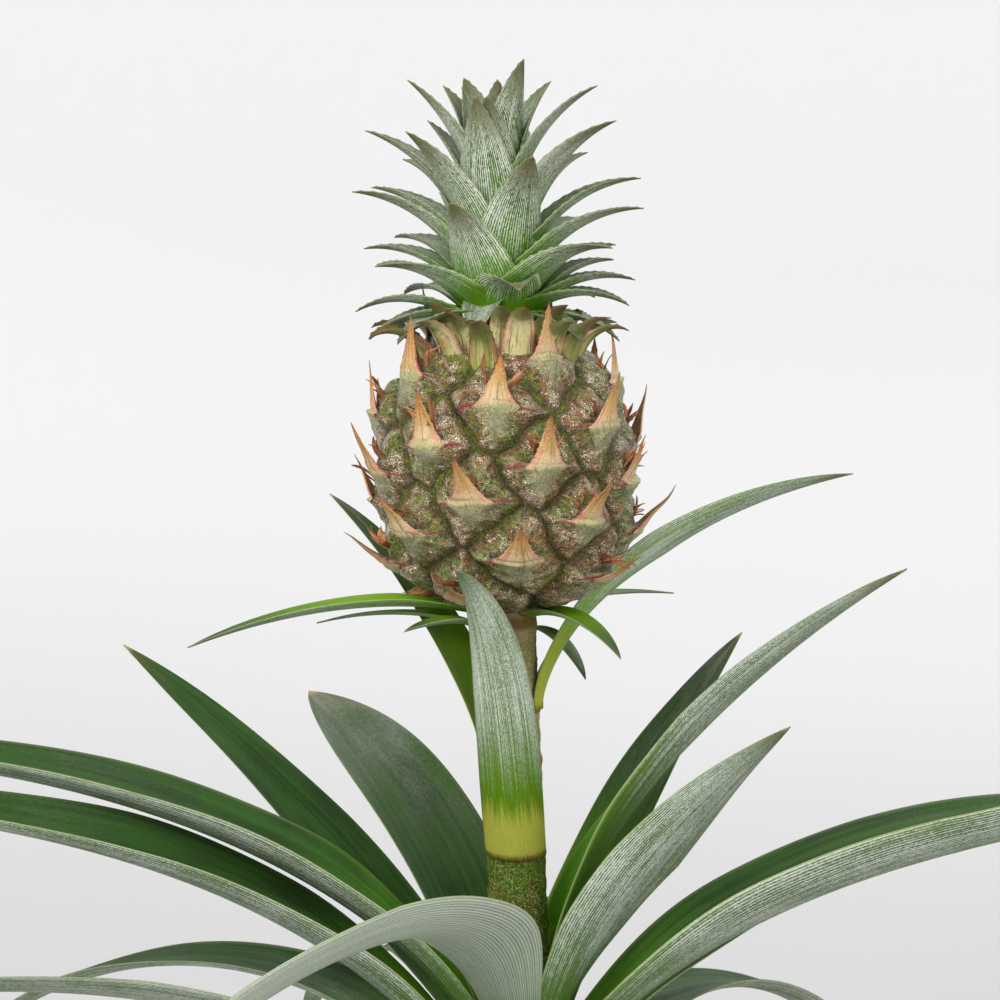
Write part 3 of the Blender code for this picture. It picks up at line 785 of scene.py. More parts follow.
def midrib(leaf, steps, radius):
    """Along, point, sideways direction and upper normal at every station of a leaf."""
    azimuth = math.radians(leaf.azimuth)
    along = np.linspace(0.0, 1.0, steps + 1)
    slope = np.radians(leaf.rise + (leaf.droop - leaf.rise) * along ** leaf.bend)
    heading = azimuth + math.radians(leaf.sweep) * along ** 1.5
    level = np.cos(slope)
    tangent = np.stack([level * np.cos(heading), level * np.sin(heading), np.sin(slope)], -1)
    stride = tangent * (leaf.length / steps)
    stride[:, 0] -= leaf.lean * stride[:, 2]
    start = np.array([axis_x(leaf.height) + radius * math.cos(azimuth), radius * math.sin(azimuth),
                      leaf.height])
    points = start + np.concatenate([np.zeros((1, 3)), np.cumsum(stride, 0)[:-1]])
    level_side = np.stack([-np.sin(heading), np.cos(heading), 0.0 * heading], -1)
    level_up = np.cross(tangent, level_side)
    roll = np.radians(leaf.roll * np.minimum(1.0, 2.0 * along))[:, None]
    side = level_side * np.cos(roll) + level_up * np.sin(roll)
    return along, points, side, np.cross(tangent, side)


def half_width(leaf, along):
    swell = leaf.foot + (1.0 - leaf.foot) * smooth_step(along / SWELL_SHARE)
    return 0.5 * leaf.width * swell * (1.0 - along ** leaf.taper) ** TIP_ROUNDING


def add_blade(bundle, leaf, size, thickness, stem, tone, key="leaf", teeth=0.0):
    """A channelled blade of size (steps along, steps across) whose foot clasps a stem."""
    steps, columns = size
    radius = stem + GAP + 0.5 * thickness * math.sin(math.radians(leaf.rise))
    along, points, side, up = midrib(leaf, steps, radius)
    half = np.maximum(half_width(leaf, along), TIP_HALF_WIDTH)[:, None]
    spur = teeth * (np.arange(steps + 1) % 3 == 1) * (half[:, 0] > 3.0 * teeth)
    along, side, up = along[:, None], side[:, None], up[:, None]
    foot_channel = min(WIDEST_CLASP, half[0, 0] / radius)
    arc = blend(foot_channel, math.radians(leaf.channel), smooth_step(along / OPENING_SHARE))
    share = np.linspace(-1.0, 1.0, columns + 1)[None, :]
    share = share * (1.0 + spur[:, None] / half * (np.abs(share) == 1.0))
    turn = share * arc
    curve = half / arc
    wave = ripple(points, 60.0, tone * 9.0)[:, None] * share ** 2
    sway = ripple(points + 40.0, 42.0, tone * 7.0)[:, None] * np.sign(share) * share ** 2
    rim = smooth_step(along / 0.3) * half * WAVINESS * (wave + sway)
    lift = curve * (1.0 - np.cos(turn)) + rim
    middle = points[:, None] + side * (curve * np.sin(turn))[..., None] + up * lift[..., None]
    normal = up * np.cos(turn)[..., None] - side * np.sin(turn)[..., None]
    depth = 0.5 * thickness * (1.0 - EDGE_THINNING * np.minimum(1.0, np.abs(share)) ** 2.5)
    depth = depth * (1.0 - TIP_THINNING * along)
    groove = GROOVE_DEPTH * thickness * np.exp(-(share / GROOVE_SHARE) ** 2) * (1.0 - along)
    upper = middle + normal * (depth - groove)[..., None]
    lower = middle - normal * (depth + 0.3 * groove)[..., None]
    full = np.ones_like(turn)
    shares = np.stack([share * full, along * full, tone * full], -1)
    over = np.stack([turn * curve, along * leaf.length * full, 0.0 * full], -1)
    below = over + np.array([0.0, 0.0, 1.0])
    look = np.stack([leaf.bloom * full, leaf.fresh * full, 0.0 * full], -1)
    bundle.shell(upper, lower, **{key + "_share": (shares, shares), key + "_size": (over, below),
                                  key + "_look": (look, look)})


def make_leaf(kind, number, leaf, finish, thickness, stem, teeth=0.0, noded=True):
    """One numbered leaf as a piece of its own. If noded, it stands for the node with its number."""
    name, size, salt = KINDS[kind]
    body = Bundle()
    add_blade(body, leaf, size, thickness / MM, float(stem), spread(number, salt), teeth=teeth)
    body.make(f"{name}_{number + 1:02d}", finish, kind, [f"{kind}_{number + 1:02d}"] if noded else ())


# ---------------------------------------------------------------- fruit

class Barrel:
    """The smooth barrel under the rind, and the spiral of fruitlets on it."""

    def __init__(self):
        bend = np.linspace(-0.5 * math.pi, 0.5 * math.pi, 4001)
        power = 2.0 / FRUIT_SQUARENESS
        self.heights = FRUIT_HALF_HEIGHT * np.sign(bend) * np.abs(np.sin(bend)) ** power
        self.radii = FRUIT_RADIUS * np.abs(np.cos(bend)) ** power
        pace = np.hypot(np.diff(self.heights), np.diff(self.radii))
        self.arcs = np.concatenate([[0.0], np.cumsum(pace)])
        self.arcs -= np.interp(0.0, self.heights, self.arcs)
        number = np.arange(FRUITLETS_MOST)
        level = FRUITLET_FIRST - FRUIT_HALF_HEIGHT + FRUITLET_STEP * number
        # They lie a little farther apart towards both ends.
        level *= 1.0 + 0.10 * (level / 30.0) ** 2
        keep = np.abs(level) < FRUIT_END * FRUIT_HALF_HEIGHT - FRUITLET_MARGIN
        self.number = number[keep]
        self.angle = np.radians(FRUITLET_PHASE + FRUITLET_TURN * self.number)
        self.arc = np.interp(level[keep], self.heights, self.arcs)
        self.end = float(np.interp(FRUIT_END * FRUIT_HALF_HEIGHT, self.heights, self.arcs))

    def surface(self, angle, arc):
        """Point and outward normal of the smooth barrel, and its radius there."""
        radius = np.interp(arc, self.arcs, self.radii)
        level = np.interp(arc, self.arcs, self.heights)
        ahead, climb = (np.interp(arc + 0.2, self.arcs, line) - np.interp(arc - 0.2, self.arcs, line)
                        for line in (self.radii, self.heights))
        size = np.hypot(ahead, climb) + 1e-9
        out, rise = climb / size, -ahead / size
        height = FRUIT_MIDDLE + level
        point = np.stack([axis_x(height) + radius * np.cos(angle), radius * np.sin(angle), height], -1)
        normal = np.stack([out * np.cos(angle), out * np.sin(angle), rise], -1)
        return point, normal, radius

    def relief(self, angle, arc):
        """Height of the rind over the barrel, and where each point lies on its fruitlet."""
        point, _, radius = self.surface(angle, arc)
        turn = (angle[..., None] - self.angle + math.pi) % (2.0 * math.pi) - math.pi
        across = turn * radius[..., None] + 0.7 * ripple(point, 9.0, 1.3)[..., None]
        up = arc[..., None] - self.arc + 0.7 * ripple(point, 9.0, 2.1)[..., None]
        square = across ** 2 + up ** 2
        order = np.argsort(square, -1)[..., :6]
        across, up, square = (np.take_along_axis(part, order, -1) for part in (across, up, square))
        apart = np.hypot(across[..., 1:] - across[..., :1], up[..., 1:] - up[..., :1])
        walls = np.sort((square[..., 1:] - square[..., :1]) / (2.0 * apart), -1)
        edge, crease = walls[..., 0], walls[..., 1] - walls[..., 0]
        u, v = across[..., 0], up[..., 0]
        height = EYE_HEIGHT * (1.0 - np.exp(-edge / EYE_ROUNDING)) - SEAM_DEPTH
        # The seam's thin lip, the ridge below the bract, the bract's edge and the hollow above it.
        height += 0.3 * np.exp(-(edge / 0.45) ** 2)
        height += (1.0 * np.exp(-(u / 2.8) ** 2) * smooth_step((v + 8.0) / 6.0)
                   * smooth_step((1.6 - v) / 2.0))
        height += (0.9 * smooth_step((v + 5.0) / 5.0) * smooth_step((0.9 - v) / 0.9)
                   * smooth_step(edge / 1.5))
        height -= 0.8 * np.exp(-(u ** 2 + (v - 3.4) ** 2) / 5.0)
        # Unevenness, and a smooth end at both poles.
        height += 0.22 * ripple(point, 3.4, 4.2) * smooth_step(edge / 2.0)
        height += 0.10 * ripple(point, 1.5, 5.7)
        height *= smooth_step((radius - 6.0) / 8.0)
        return height, (u, v, spread(self.number[order[..., 0]])), (edge, crease, 0.0 * edge)


def add_rind(bundle, barrel, sides, rows):
    arc = np.linspace(-barrel.end, barrel.end, rows)[:, None] * np.ones((1, sides))
    angle = 2.0 * math.pi * np.arange(sides)[None, :] / sides * np.ones((rows, 1))
    point, normal, _ = barrel.surface(angle, arc)
    height, place, seam = barrel.relief(angle, arc)
    rind = point + normal * height[..., None]
    bundle.add(rind.reshape(-1, 3), round_quads(rows, sides),
               eye_place=np.stack(place, -1).reshape(-1, 3), eye_edge=np.stack(seam, -1).reshape(-1, 3))
    flat = np.zeros((3 * sides, 3))
    for ring, order in ((rind[0], -1), (rind[-1], 1)):
        middle = ring.mean(0)
        end = np.concatenate([ring, 0.5 * (ring + middle), 0.02 * ring + 0.98 * middle])
        bundle.add(end, round_quads(3, sides)[:, ::order], eye_place=flat, eye_edge=flat + 0.5)


# Half width of a fruit bract against its place along, and how far up its fruitlet that is.
BRACT_ALONG = [0.0, 0.08, 0.15, 0.20, 0.27, 0.40, 0.54, 0.68, 0.81, 0.92, 1.0]
BRACT_HALF = [3.0, 5.0, 6.0, 5.7, 4.8, 3.6, 2.7, 2.0, 1.3, 0.65, 0.12]
BRACT_UP = [-3.0, -1.4, -0.4, 0.3, 1.2, 3.2, 5.4, 7.6, 9.8, 12.0, 13.8]


def add_bract(bundle, barrel, number, size, lift, swing):
    """The point of one bract: it leaves the middle of its fruitlet and then stands off it."""
    rows, columns = BRACT_GRID
    along = np.linspace(0.0, 1.0, rows + 1)[:, None]
    share = np.linspace(-1.0, 1.0, columns + 1)[None, :]
    full = np.ones((rows + 1, columns + 1))
    draw = np.random.default_rng(int(BRACT_SALT * 1000) + number)
    half = np.interp(along, BRACT_ALONG, BRACT_HALF) * size * blend(draw.uniform(0.9, 1.3), 1.0, along)
    up = np.interp(along, BRACT_ALONG, BRACT_UP)
    up = np.where(up > 0.0, up * size, up) * full
    teeth = draw.uniform(-0.2, 0.26, (rows + 1, 2)) * (along < 0.9)
    reach = half + np.where(share > 0.0, teeth[:, 1:], teeth[:, :1]) * np.abs(share) ** 4
    free = smooth_step((along - 0.2) / 0.8)
    across = share * reach + swing * free ** 1.5
    centre_arc, centre_angle = barrel.arc[number], barrel.angle[number]
    # The foot follows the rind of its fruitlet.
    arc = np.clip(centre_arc + up, -barrel.end + 0.3, barrel.end - 0.3)
    radius = np.maximum(np.interp(arc, barrel.arcs, barrel.radii), 9.0)
    angle = centre_angle + across / radius
    proud = blend(-0.6, 0.4, smooth_step(along / 0.15))
    hug = barrel.relief(angle, arc)[0] + proud + 0.25 * (1.0 - np.abs(share) ** 2)
    point, normal, _ = barrel.surface(angle, arc)
    hugging = point + normal * hug[..., None]
    # The point stands free, and points up on the shoulder of the fruit.
    centre = np.array([centre_angle]), np.array([centre_arc])
    spot, out, _ = barrel.surface(*centre)
    spot, out = spot[0], out[0]
    peak = barrel.relief(*centre)[0][0] + 0.8
    sideways = np.array([-math.sin(centre_angle), math.cos(centre_angle), 0.0])
    upright = float(smooth_step((centre_arc / barrel.end - 0.3) / 0.6))
    upward = np.array([0.0, 0.0, 1.0]) + 0.25 * out
    climb = unit((1.0 - upright) * np.cross(out, sideways) + upright * upward)
    waves = ripple(np.stack(np.broadcast_arrays(across, up, 9.0 * number), -1), 4.0, 1.7)
    stand = (lift * ((along - 0.14) / 0.86).clip(0.0) ** 1.3 - 0.34 * half * np.abs(share) ** 1.6
             + 0.5 * waves * free)
    standing = (spot + out * peak + sideways * across[..., None] + climb * up[..., None]
                + out * stand[..., None])
    off = smooth_step((along - 0.11) / 0.16)[..., None] * np.ones((1, columns + 1, 1))
    middle = hugging * (1.0 - off) + standing * off
    facing = normal * (1.0 - off) + np.cross(sideways, climb) * off
    sheet = (0.5 * BRACT_THICKNESS * (1.0 - 0.5 * along) * (1.0 - 0.5 * share ** 2))[..., None]
    shares = np.stack([share * full, along * full, spread(number, BRACT_SALT) * full], -1)
    sizes = np.stack([across, up, 0.0 * full], -1)
    bundle.shell(middle + facing * sheet, middle - facing * sheet, bract_share=(shares, shares),
                 bract_size=(sizes, sizes))


def add_petal(bundle, start, way, side, length, width, curl, twist, tone):
    """A withered petal: a narrow strip that curls and twists as it leaves the fruitlet."""
    rows, columns = PETAL_GRID
    out = np.cross(way, side)
    share = np.linspace(-1.0, 1.0, columns + 1)[:, None]
    point, uppers, lowers = start, [], []
    for row in range(rows + 1):
        along = row / rows
        bend = curl * along ** 1.4
        heading = unit(way * math.cos(bend) + out * math.sin(bend)
                       + side * 0.5 * math.sin(twist * along * 2.0))
        spin = twist * along * 2.5
        face = unit(np.cross(heading, side))
        edge = np.cross(face, heading) * math.cos(spin) + face * math.sin(spin)
        skin = np.cross(heading, edge)
        half = 0.5 * width * (0.75 + 0.45 * math.sin(3.1 * along + tone * 6.0)) * (1.02 - along ** 2.5)
        line = point + edge * share * half + skin * 0.5 * half * share ** 2
        uppers.append(line + skin * 0.5 * PETAL_THICKNESS)
        lowers.append(line - skin * 0.5 * PETAL_THICKNESS)
        point = point + heading * (length / rows)
    full = np.ones((rows + 1, columns + 1))
    shares = np.stack([share[:, 0] * full, np.linspace(0, 1, rows + 1)[:, None] * full, tone * full], -1)
    bundle.shell(np.array(uppers), np.array(lowers), bract_share=(shares, shares))


def add_flower(bundle, barrel, number, size, draw):
    """The curled remains of one flower, a few strips behind the tip of the bract."""
    angle, arc = barrel.angle[number:number + 1], barrel.arc[number:number + 1] + 2.6
    arc = np.clip(arc, -barrel.end + 1.0, barrel.end - 1.0)
    point, normal, _ = barrel.surface(angle, arc)
    start, out = (point + normal * barrel.relief(angle, arc)[0][:, None])[0], normal[0]
    side = np.array([-math.sin(angle[0]), math.cos(angle[0]), 0.0])
    rise = np.cross(out, side)
    rise = rise if rise[2] > 0.0 else -rise
    for petal in range(PETALS):
        hand = 1.0 if (petal + number) % 2 else -1.0
        lean = draw.uniform(0.25, 0.95)
        way = unit(out * math.sin(lean) + rise * math.cos(lean) + side * hand * draw.uniform(0.2, 0.8))
        cross = unit(np.cross(way, out + 0.2 * side))
        foot = start - out * 0.4 + side * hand * draw.uniform(0.4, 2.2) + rise * draw.uniform(0.0, 1.4)
        length, width = size * draw.uniform(4.5, 10.0), size * draw.uniform(1.2, 2.8)
        curl, twist = draw.uniform(-1.4, 1.4), draw.uniform(-1.4, 1.4)
        add_petal(bundle, foot, way, cross, length, width, curl, twist, float(draw.uniform()))


# ---------------------------------------------------------------- settings

COLOURS = dict(
    # Leaf blades
    under_green=(0.12, 0.19, 0.06), under_deep=(0.09, 0.145, 0.05), line_green=(0.06, 0.115, 0.03),
    scales=(0.53, 0.575, 0.5), upper_green=(0.03, 0.08, 0.014), upper_deep=(0.016, 0.042, 0.01),
    # The pale haze on the upper sides and the frost are partly waxy bloom and partly painted sheen and
    # light.
    haze=(0.27, 0.285, 0.235), frost=(0.58, 0.62, 0.54), crown_green=(0.042, 0.105, 0.02),
    crown_deep=(0.024, 0.062, 0.012), crown_lime=(0.095, 0.25, 0.004), crown_scales=(0.62, 0.65, 0.54),
    # The stalk leaves' lime is a brighter copy of lime, painted light for their feet that lie in shade.
    joint=(0.26, 0.11, 0.02), lime=(0.085, 0.24, 0.002), lit_stalk_lime=(0.15, 0.31, 0.006),
    clasp_scales=(0.62, 0.68, 0.56), clasp_lime=(0.08, 0.175, 0.001), clasp_foot=(0.34, 0.34, 0.05),
    stalk_foot=(0.36, 0.38, 0.05), foot=(0.42, 0.48, 0.18), tip=(0.12, 0.095, 0.025),
    rim=(0.33, 0.36, 0.17), spike=(0.42, 0.28, 0.12),
    # Rind. The pale grey green laid on the middle of each facet is a painted sheen, and the dark brown
    # down in the seams is painted shade.
    rind_green=(0.135, 0.165, 0.008), rind_purple=(0.23, 0.09, 0.018), rind_dark=(0.028, 0.02, 0.003),
    rind_scales=(0.92, 0.78, 0.58), rind_ridge=(0.36, 0.34, 0.19), rind_sheen=(0.33, 0.35, 0.12),
    seam_shade=(0.05, 0.042, 0.01), seam_green=(0.14, 0.185, 0.004),
    # Bracts
    bract_pale=(0.38, 0.39, 0.22), bract_foot=(0.3, 0.3, 0.14), bract_line=(0.17, 0.1, 0.035),
    bract_cream=(0.6, 0.43, 0.24), bract_tan=(0.5, 0.29, 0.09), bract_orange=(0.46, 0.17, 0.035),
    bract_pink=(0.52, 0.22, 0.15), crimson=(0.27, 0.035, 0.045), bract_green=(0.26, 0.24, 0.08),
    neck_pale=(0.6, 0.53, 0.27), neck_green=(0.27, 0.31, 0.07), neck_leafy=(0.11, 0.14, 0.03),
    neck_dry=(0.17, 0.1, 0.035),
    # Flowers, stalk and stem
    flower_brown=(0.28, 0.1, 0.035), flower_orange=(0.56, 0.25, 0.11), flower_dark=(0.07, 0.028, 0.014),
    stalk_green=(0.05, 0.105, 0.002), stalk_brown=(0.065, 0.07, 0.005), stalk_dark=(0.03, 0.036, 0.004),
    stalk_scales=(0.46, 0.43, 0.2), stalk_pale=(0.36, 0.27, 0.13), scar=(0.16, 0.07, 0.02),
    # Soil, pot and stage
    soil_dark=(0.012, 0.008, 0.006), soil_brown=(0.05, 0.031, 0.02), soil_pale=(0.12, 0.085, 0.06),
    soil_fibre=(0.16, 0.10, 0.055), perlite=(0.72, 0.71, 0.68), pot=(0.34, 0.125, 0.065),
    pot_deep=(0.27, 0.095, 0.05), pot_scuff=(0.45, 0.24, 0.16), floor=(0.46, 0.46, 0.46),
    wall=(0.89, 0.89, 0.89),
)


def colour_property(name, value):
    label = name.replace("_", " ").capitalize()
    return bpy.props.FloatVectorProperty(name=label, description=label + " colour", subtype="COLOR",
                                         size=3, min=0.0, max=1.0, default=value)


def share_property(name, text):
    return bpy.props.FloatProperty(name=name, description=text, default=1.0, min=0.0, max=2.0,
                                   subtype="FACTOR")


def length_property(name, text, value):
    return bpy.props.FloatProperty(name=name, description=text, default=value, min=0.0, unit="LENGTH",
                                   subtype="DISTANCE")


class PineappleSizes(bpy.types.PropertyGroup):
    """Sizes a user may change."""
    rosette_thickness: length_property("Rosette leaf thickness", "Thickness at the midrib", 0.0012)
    stalk_thickness: length_property("Stalk leaf thickness", "Thickness at the midrib", 0.0009)
    crown_thickness: length_property("Crown leaf thickness", "Thickness at the midrib", 0.0008)
    crown_breadth: share_property("Crown breadth", "Width of the crown leaves against the model's")
    bract_size: share_property("Bract size", "Length of the fruit bracts' tips")
    bract_lift: length_property("Bract lift", "How far the tips of the fruit bracts stand off", 0.0048)
    flower_size: share_property("Flower size", "Size of the dried flower remains")
    view_distance: length_property("View distance", "From the camera to the plant's axis", VIEW_DISTANCE)
    view_height: length_property("View height", "Height on the axis that the camera looks at", 0.308)
    floor_radius: length_property("Floor radius", "Radius of the floor and its upturned edge", 3.0)


class PineappleColours(bpy.types.PropertyGroup):
    """Colours a user may change."""
    __annotations__ = {name: colour_property(name, value) for name, value in COLOURS.items()}


def sizes():
    return bpy.context.scene.pineapple_sizes


def tints(**renamed):
    """The colours as plain tuples, by name. A renamed colour takes the value of another one."""
    group = bpy.context.scene.pineapple_colours
    tint = {name: tuple(getattr(group, name)) for name in COLOURS}
    return dict(tint, **{name: tint[other] for name, other in renamed.items()})


# ---------------------------------------------------------------- operators

class PINEAPPLE_OT_pot(bpy.types.Operator):
    """Pot: gives the imported round moulded pot, with its banded, rounded rim and drain holes in its
    floor, a clay-coloured plastic finish
    """
    bl_idname = "pineapple.pot"
    bl_label = "Pot"

    def execute(self, context):
        refinish("pot", pot_finish(tints()))
        return {"FINISHED"}


class PINEAPPLE_OT_soil(bpy.types.Operator):
    """Soil: crumbly potting soil that fills the pot, with loose crumbs and pale grains on it"""
    bl_idname = "pineapple.soil"
    bl_label = "Soil"

    def execute(self, context):
        inside, socket = SOIL_HIGH[0], STEM_RADII[0] + GAP
        profile = [(0.0, SOIL_LOW[2]), (inside - 13.0, SOIL_LOW[2]), (inside - 1.0, SOIL_LEVEL - 5.0)]
        surface = [(r, soil_height(r)) for r in np.linspace(inside - 0.6, socket, SOIL_RINGS)]
        points, faces = turned(profile + surface, SOIL_SIDES)
        crumble = (0.9 * ripple(points, 7.0, 1.1) + 0.7 * ripple(points, 3.1, 2.2)
                   + 0.5 * np.abs(ripple(points, 1.7, 3.3)))
        points[:, 2] += np.where(points[:, 2] > SOIL_LEVEL - 1.0, 0.7 * crumble, 0.0)
        body = Bundle()
        body.add(points, faces)
        finish = soil_finish(tints())
        body.make("soil_bed", finish, "soil", ["soil"])
        draw = np.random.default_rng(SOIL_SEED)
        for name, count, size, skin in (("soil_crumbs", CRUMBS, CRUMB_SIZES, finish),
                                        ("perlite_grains", GRAINS, GRAIN_SIZES, grain_finish(tints()))):
            heap = Bundle()
            for _ in range(count):
                add_crumb(heap, draw, draw.uniform(*size), socket + 2.0, inside - 2.5)
            heap.make(name, skin, "soil")
        return {"FINISHED"}


class PINEAPPLE_OT_stem(bpy.types.Operator):
    """Stem and fruit stalk: scurfy, with a ring at every leaf scar"""
    bl_idname = "pineapple.stem"
    bl_label = "Stem and stalk"

    def execute(self, context):
        make_shaft("scurfy_stalk", "fruit_stalk", stalk_radius, STALK_RINGS, 0.5,
                   scurf_finish("stalk_scurf", tints(), STALK_RINGS), STALK_LOW[2], STALK_HIGH[2])
        make_shaft("scarred_stem", "stem", stem_radius, STEM_RINGS, 0.7,
                   scurf_finish("stem_scurf", tints(), STEM_RINGS), STEM_LOW[2], STEM_HIGH[2])
        return {"FINISHED"}


class PINEAPPLE_OT_rosette(bpy.types.Operator):
    """Rosette: long channelled leaves that arch out from the stem"""
    bl_idname = "pineapple.rosette"
    bl_label = "Rosette leaves"

    def execute(self, context):
        finish = leaf_finish("rosette_leaf", tints(), 38.0, cover=(0.06, 0.3), lime=(0.0, 0.34),
                             under_lime=0.5, tip=(0.86, 1.1))
        for number, leaf in enumerate(ROSETTE):
            make_leaf("rosette_leaf", number, leaf, finish, sizes().rosette_thickness,
                      stem_radius(leaf.height))
        return {"FINISHED"}


class PINEAPPLE_OT_stalk_leaves(bpy.types.Operator):
    """Stalk leaves: the clasping leaf in front, the two long ones and the collar under the fruit"""
    bl_idname = "pineapple.stalk_leaves"
    bl_label = "Stalk leaves"

    def execute(self, context):
        # The stalk leaves get a brighter lime, painted light on feet that lie in shade.
        tint = tints(foot="stalk_foot", lime="lit_stalk_lime")
        clasping = tints(scales="clasp_scales", lime="clasp_lime", foot="clasp_foot")
        clasp = leaf_finish("clasping_leaf", clasping, 40.0, cover=(0.18, 0.56), foot=(0.1, 0.19),
                            lime=(0.2, 0.5), tip=(0.9, 1.2), stripes=0.2, dashes=0.4, soft=0.34)
        long = leaf_finish("stalk_leaf", tint, 22.0, cover=(0.12, 0.5), foot=(0.05, 0.25),
                           lime=(0.25, 0.85), under_lime=0.8, tip=(0.85, 1.05))
        collar = leaf_finish("collar_leaf", tint, 22.0, cover=(0.1, 0.5), veil=0.7, lime=(0.3, 0.95),
                             under_lime=0.7, tip=(0.82, 1.05))
        finishes = [clasp, long, long] + [collar] * (len(STALK_LEAVES) - 3)
        for number, (leaf, finish) in enumerate(zip(STALK_LEAVES, finishes)):
            make_leaf("stalk_leaf", number, leaf, finish, sizes().stalk_thickness,
                      stalk_radius(leaf.height))
        return {"FINISHED"}


class PINEAPPLE_OT_fruit(bpy.types.Operator):
    """Fruit: fused fruitlets on a spiral, each a faceted eye inside its seams"""
    bl_idname = "pineapple.fruit"
    bl_label = "Fruit rind"

    def execute(self, context):
        body = Bundle()
        add_rind(body, Barrel(), RIND_SIDES, RIND_ROWS)
        body.make("fruit_eyes", rind_finish(tints()), "fruit_rind", ["fruit"])
        return {"FINISHED"}


class PINEAPPLE_OT_bracts(bpy.types.Operator):
    """Bracts: a pointed bract on every fruitlet and the pale ones on the shoulder of the fruit"""
    bl_idname = "pineapple.bracts"
    bl_label = "Fruit bracts"

    def execute(self, context):
        barrel, draw = Barrel(), np.random.default_rng(BRACT_SEED)
        body, neck = Bundle(), Bundle()
        for number, arc in enumerate(barrel.arc):
            place = max(0.0, arc / barrel.end)
            size = sizes().bract_size * (1.0 - 1.4 * place ** 6)
            lift = sizes().bract_lift / MM * draw.uniform(0.7, 1.25) * (1.0 - 0.3 * place)
            add_bract(body, barrel, number, size * draw.uniform(0.88, 1.08), lift,
                      draw.uniform(-2.2, 2.2))
        body.make("fruit_bracts", bract_finish(tints()), "fruit_rind")
        for number, leaf in enumerate(NECK_BRACTS):
            shaped = leaf._replace(channel=draw.uniform(40.0, 75.0), taper=draw.uniform(1.5, 3.0),
                                   foot=0.9, width=leaf.width * draw.uniform(1.0, 1.35),
                                   length=leaf.length * draw.uniform(0.92, 1.12),
                                   roll=draw.uniform(-25, 25))
            add_blade(neck, shaped, NECK_GRID, NECK_THICKNESS, NECK_RADII[number >= NECK_OUTER],
                      spread(number, NECK_SALT), key="bract", teeth=NECK_TEETH)
        neck.make("neck_bracts", neck_finish(tints()), "fruit_rind")
        return {"FINISHED"}


class PINEAPPLE_OT_flowers(bpy.types.Operator):
    """Dried flowers: the curled brown remains behind the tips of the bracts"""
    bl_idname = "pineapple.flowers"
    bl_label = "Dried flowers"

    def execute(self, context):
        barrel, draw, body = Barrel(), np.random.default_rng(FLOWER_SEED), Bundle()
        for number in range(len(barrel.number)):
            add_flower(body, barrel, number, sizes().flower_size * draw.uniform(0.7, 1.35), draw)
        body.make("dried_flowers", flower_finish(tints()), "fruit_rind")
        return {"FINISHED"}


class PINEAPPLE_OT_crown(bpy.types.Operator):
    """Crown: short stiff leaves on their core, with lime feet and finely dashed pale lines"""
    bl_idname = "pineapple.crown"
    bl_label = "Crown leaves"

    def execute(self, context):
        tint = tints(under_green="crown_green", under_deep="crown_deep", scales="crown_scales",
                     lime="crown_lime")
        finish = leaf_finish("crown_leaf", tint, 28.0, cover=(-0.05, 0.4), lime=(0.1, 0.6),
                             tip=(0.5, 1.1), stripes=0.5, dashes=0.9, bare=0.6, both=0.7, soft=0.16)
        for number, leaf in enumerate(CROWN):
            low = float(np.clip((FRESH_TOP - leaf.height) / FRESH_DEPTH, 0.0, 1.0))
            shaped = leaf._replace(**CROWN_SHAPE, fresh=leaf.fresh + FRESH_SHIFT * low,
                                   width=leaf.width * CROWN_FULLNESS * sizes().crown_breadth)
            make_leaf("crown_leaf", number, shaped, finish, sizes().crown_thickness,
                      core_radius(leaf.height), CROWN_TEETH, noded=number < CROWN_NODES)
        core = tints(stalk_green="lime", stalk_brown="foot")
        refinish("crown_core", scurf_finish("crown_core", core, []))
        return {"FINISHED"}


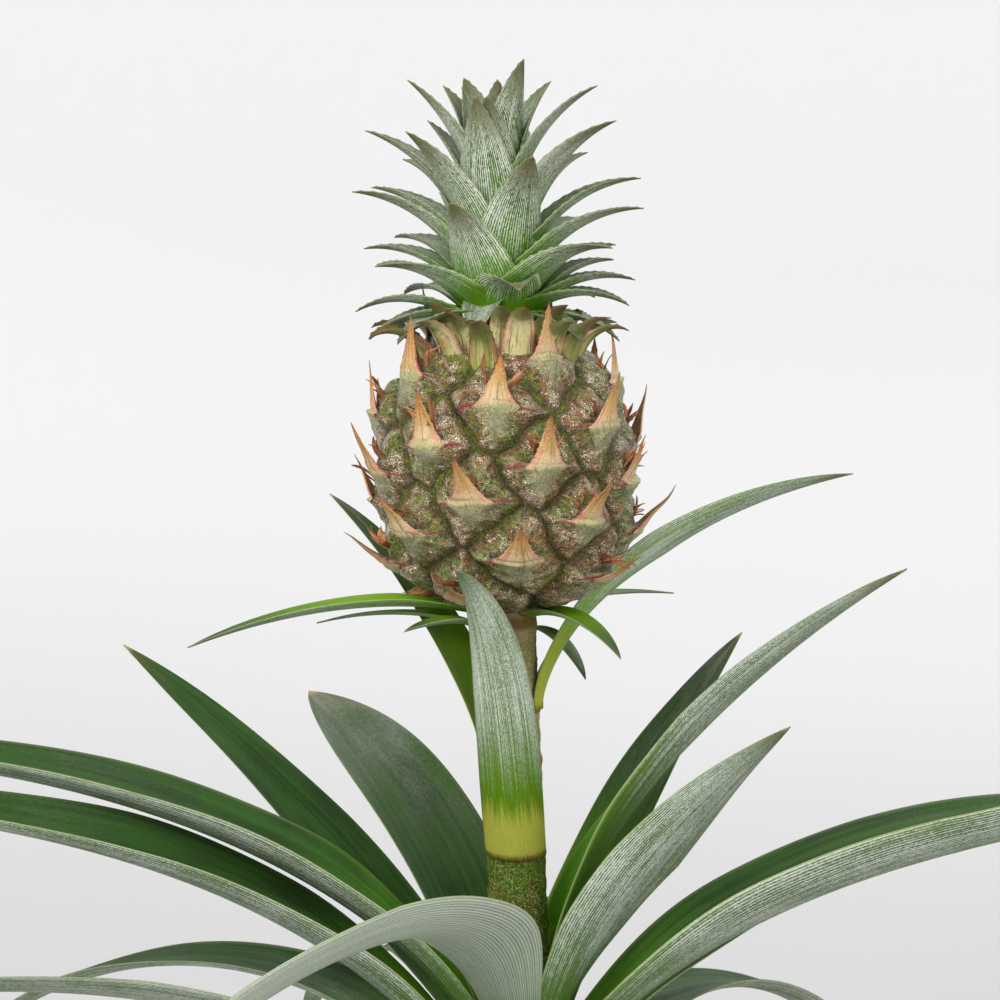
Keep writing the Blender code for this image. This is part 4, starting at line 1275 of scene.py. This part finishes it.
class PINEAPPLE_OT_stage(bpy.types.Operator):
    """Stage: a pale floor that turns up at its edge, soft studio lights and the camera"""
    bl_idname = "pineapple.stage"
    bl_label = "Stage"

    def execute(self, context):
        reach = sizes().floor_radius / MM
        flat, curl = FLOOR_FLAT * reach, (1.0 - FLOOR_FLAT) * reach
        profile = [(1.0, 0.0)] + [(r, 0.0) for r in np.linspace(100.0, flat, 8)]
        profile += [(flat + curl * math.sin(turn), curl * (1.0 - math.cos(turn)))
                    for turn in np.radians(np.arange(10.0, 91.0, 10.0))]
        points, faces = turned(profile, FLOOR_SIDES)
        points[:, 0] -= axis_x(points[:, 2])
        mesh = bpy.data.meshes.new("floor")
        mesh.from_pydata(points * MM, [], faces[:, ::-1].tolist())
        mesh.shade_smooth()
        mesh.materials.append(floor_finish(tints()))
        floor = self.put(context, "floor", mesh)
        for name, place, size, power in LAMPS:
            lamp = bpy.data.lights.new(name, "AREA")
            lamp.shape, lamp.size, lamp.energy = "DISK", size, power
            self.put(context, name, lamp, place, LAMP_TARGET)
        lens = bpy.data.cameras.new("camera")
        lens.sensor_width = 36.0
        lens.angle = 2.0 * math.atan(VIEW_HALF_WIDTH / VIEW_DISTANCE)
        lens.clip_start = VIEW_NEAREST
        distance, aim, tilt = sizes().view_distance, sizes().view_height, math.radians(VIEW_TILT)
        place = (VIEW_SIDE, -distance * math.cos(tilt), aim + distance * math.sin(tilt))
        context.scene.camera = self.put(context, "camera", lens, place, (VIEW_SIDE, 0.0, aim))
        world = bpy.data.worlds.new("studio")
        world.use_nodes = True
        sky = world.node_tree.nodes["Background"].inputs
        sky["Color"].default_value = (1.0, 1.0, 1.0, 1.0)
        sky["Strength"].default_value = SKY_STRENGTH
        context.scene.world = world
        context.scene.view_settings.view_transform = "Standard"
        return {"FINISHED"}

    @staticmethod
    def put(context, name, data, place=None, target=None):
        """A new object, which looks from its place at the target if it has one."""
        made = bpy.data.objects.new(name, data)
        context.scene.collection.objects.link(made)
        if place:
            made.location = place
            made.rotation_euler = (Vector(target) - Vector(place)).to_track_quat("-Z", "Y").to_euler()
        return made


OPERATORS = (PINEAPPLE_OT_pot, PINEAPPLE_OT_soil, PINEAPPLE_OT_stem, PINEAPPLE_OT_rosette,
             PINEAPPLE_OT_stalk_leaves, PINEAPPLE_OT_fruit, PINEAPPLE_OT_bracts,
             PINEAPPLE_OT_flowers, PINEAPPLE_OT_crown, PINEAPPLE_OT_stage)


class PINEAPPLE_PT_panel(bpy.types.Panel):
    """Lists the plant's pieces and settings"""
    bl_idname = "PINEAPPLE_PT_panel"
    bl_label = "Potted Pineapple Plant"
    bl_space_type = "VIEW_3D"
    bl_region_type = "UI"
    bl_category = "Pineapple"

    def draw(self, context):
        for made in OPERATORS:
            self.layout.operator(made.bl_idname)
        for group, kind in ((context.scene.pineapple_sizes, PineappleSizes),
                            (context.scene.pineapple_colours, PineappleColours)):
            box = self.layout.box()
            for name in kind.__annotations__:
                box.prop(group, name)


CLASSES = (PineappleSizes, PineappleColours, *OPERATORS, PINEAPPLE_PT_panel)


def register():
    for made in CLASSES:
        bpy.utils.register_class(made)
    bpy.types.Scene.pineapple_sizes = bpy.props.PointerProperty(type=PineappleSizes)
    bpy.types.Scene.pineapple_colours = bpy.props.PointerProperty(type=PineappleColours)


def unregister():
    del bpy.types.Scene.pineapple_sizes
    del bpy.types.Scene.pineapple_colours
    for made in reversed(CLASSES):
        bpy.utils.unregister_class(made)


def main():
    register()
    for made in OPERATORS:
        group, action = made.bl_idname.split(".")
        getattr(getattr(bpy.ops, group), action)()


if __name__ == "__main__":
    main()
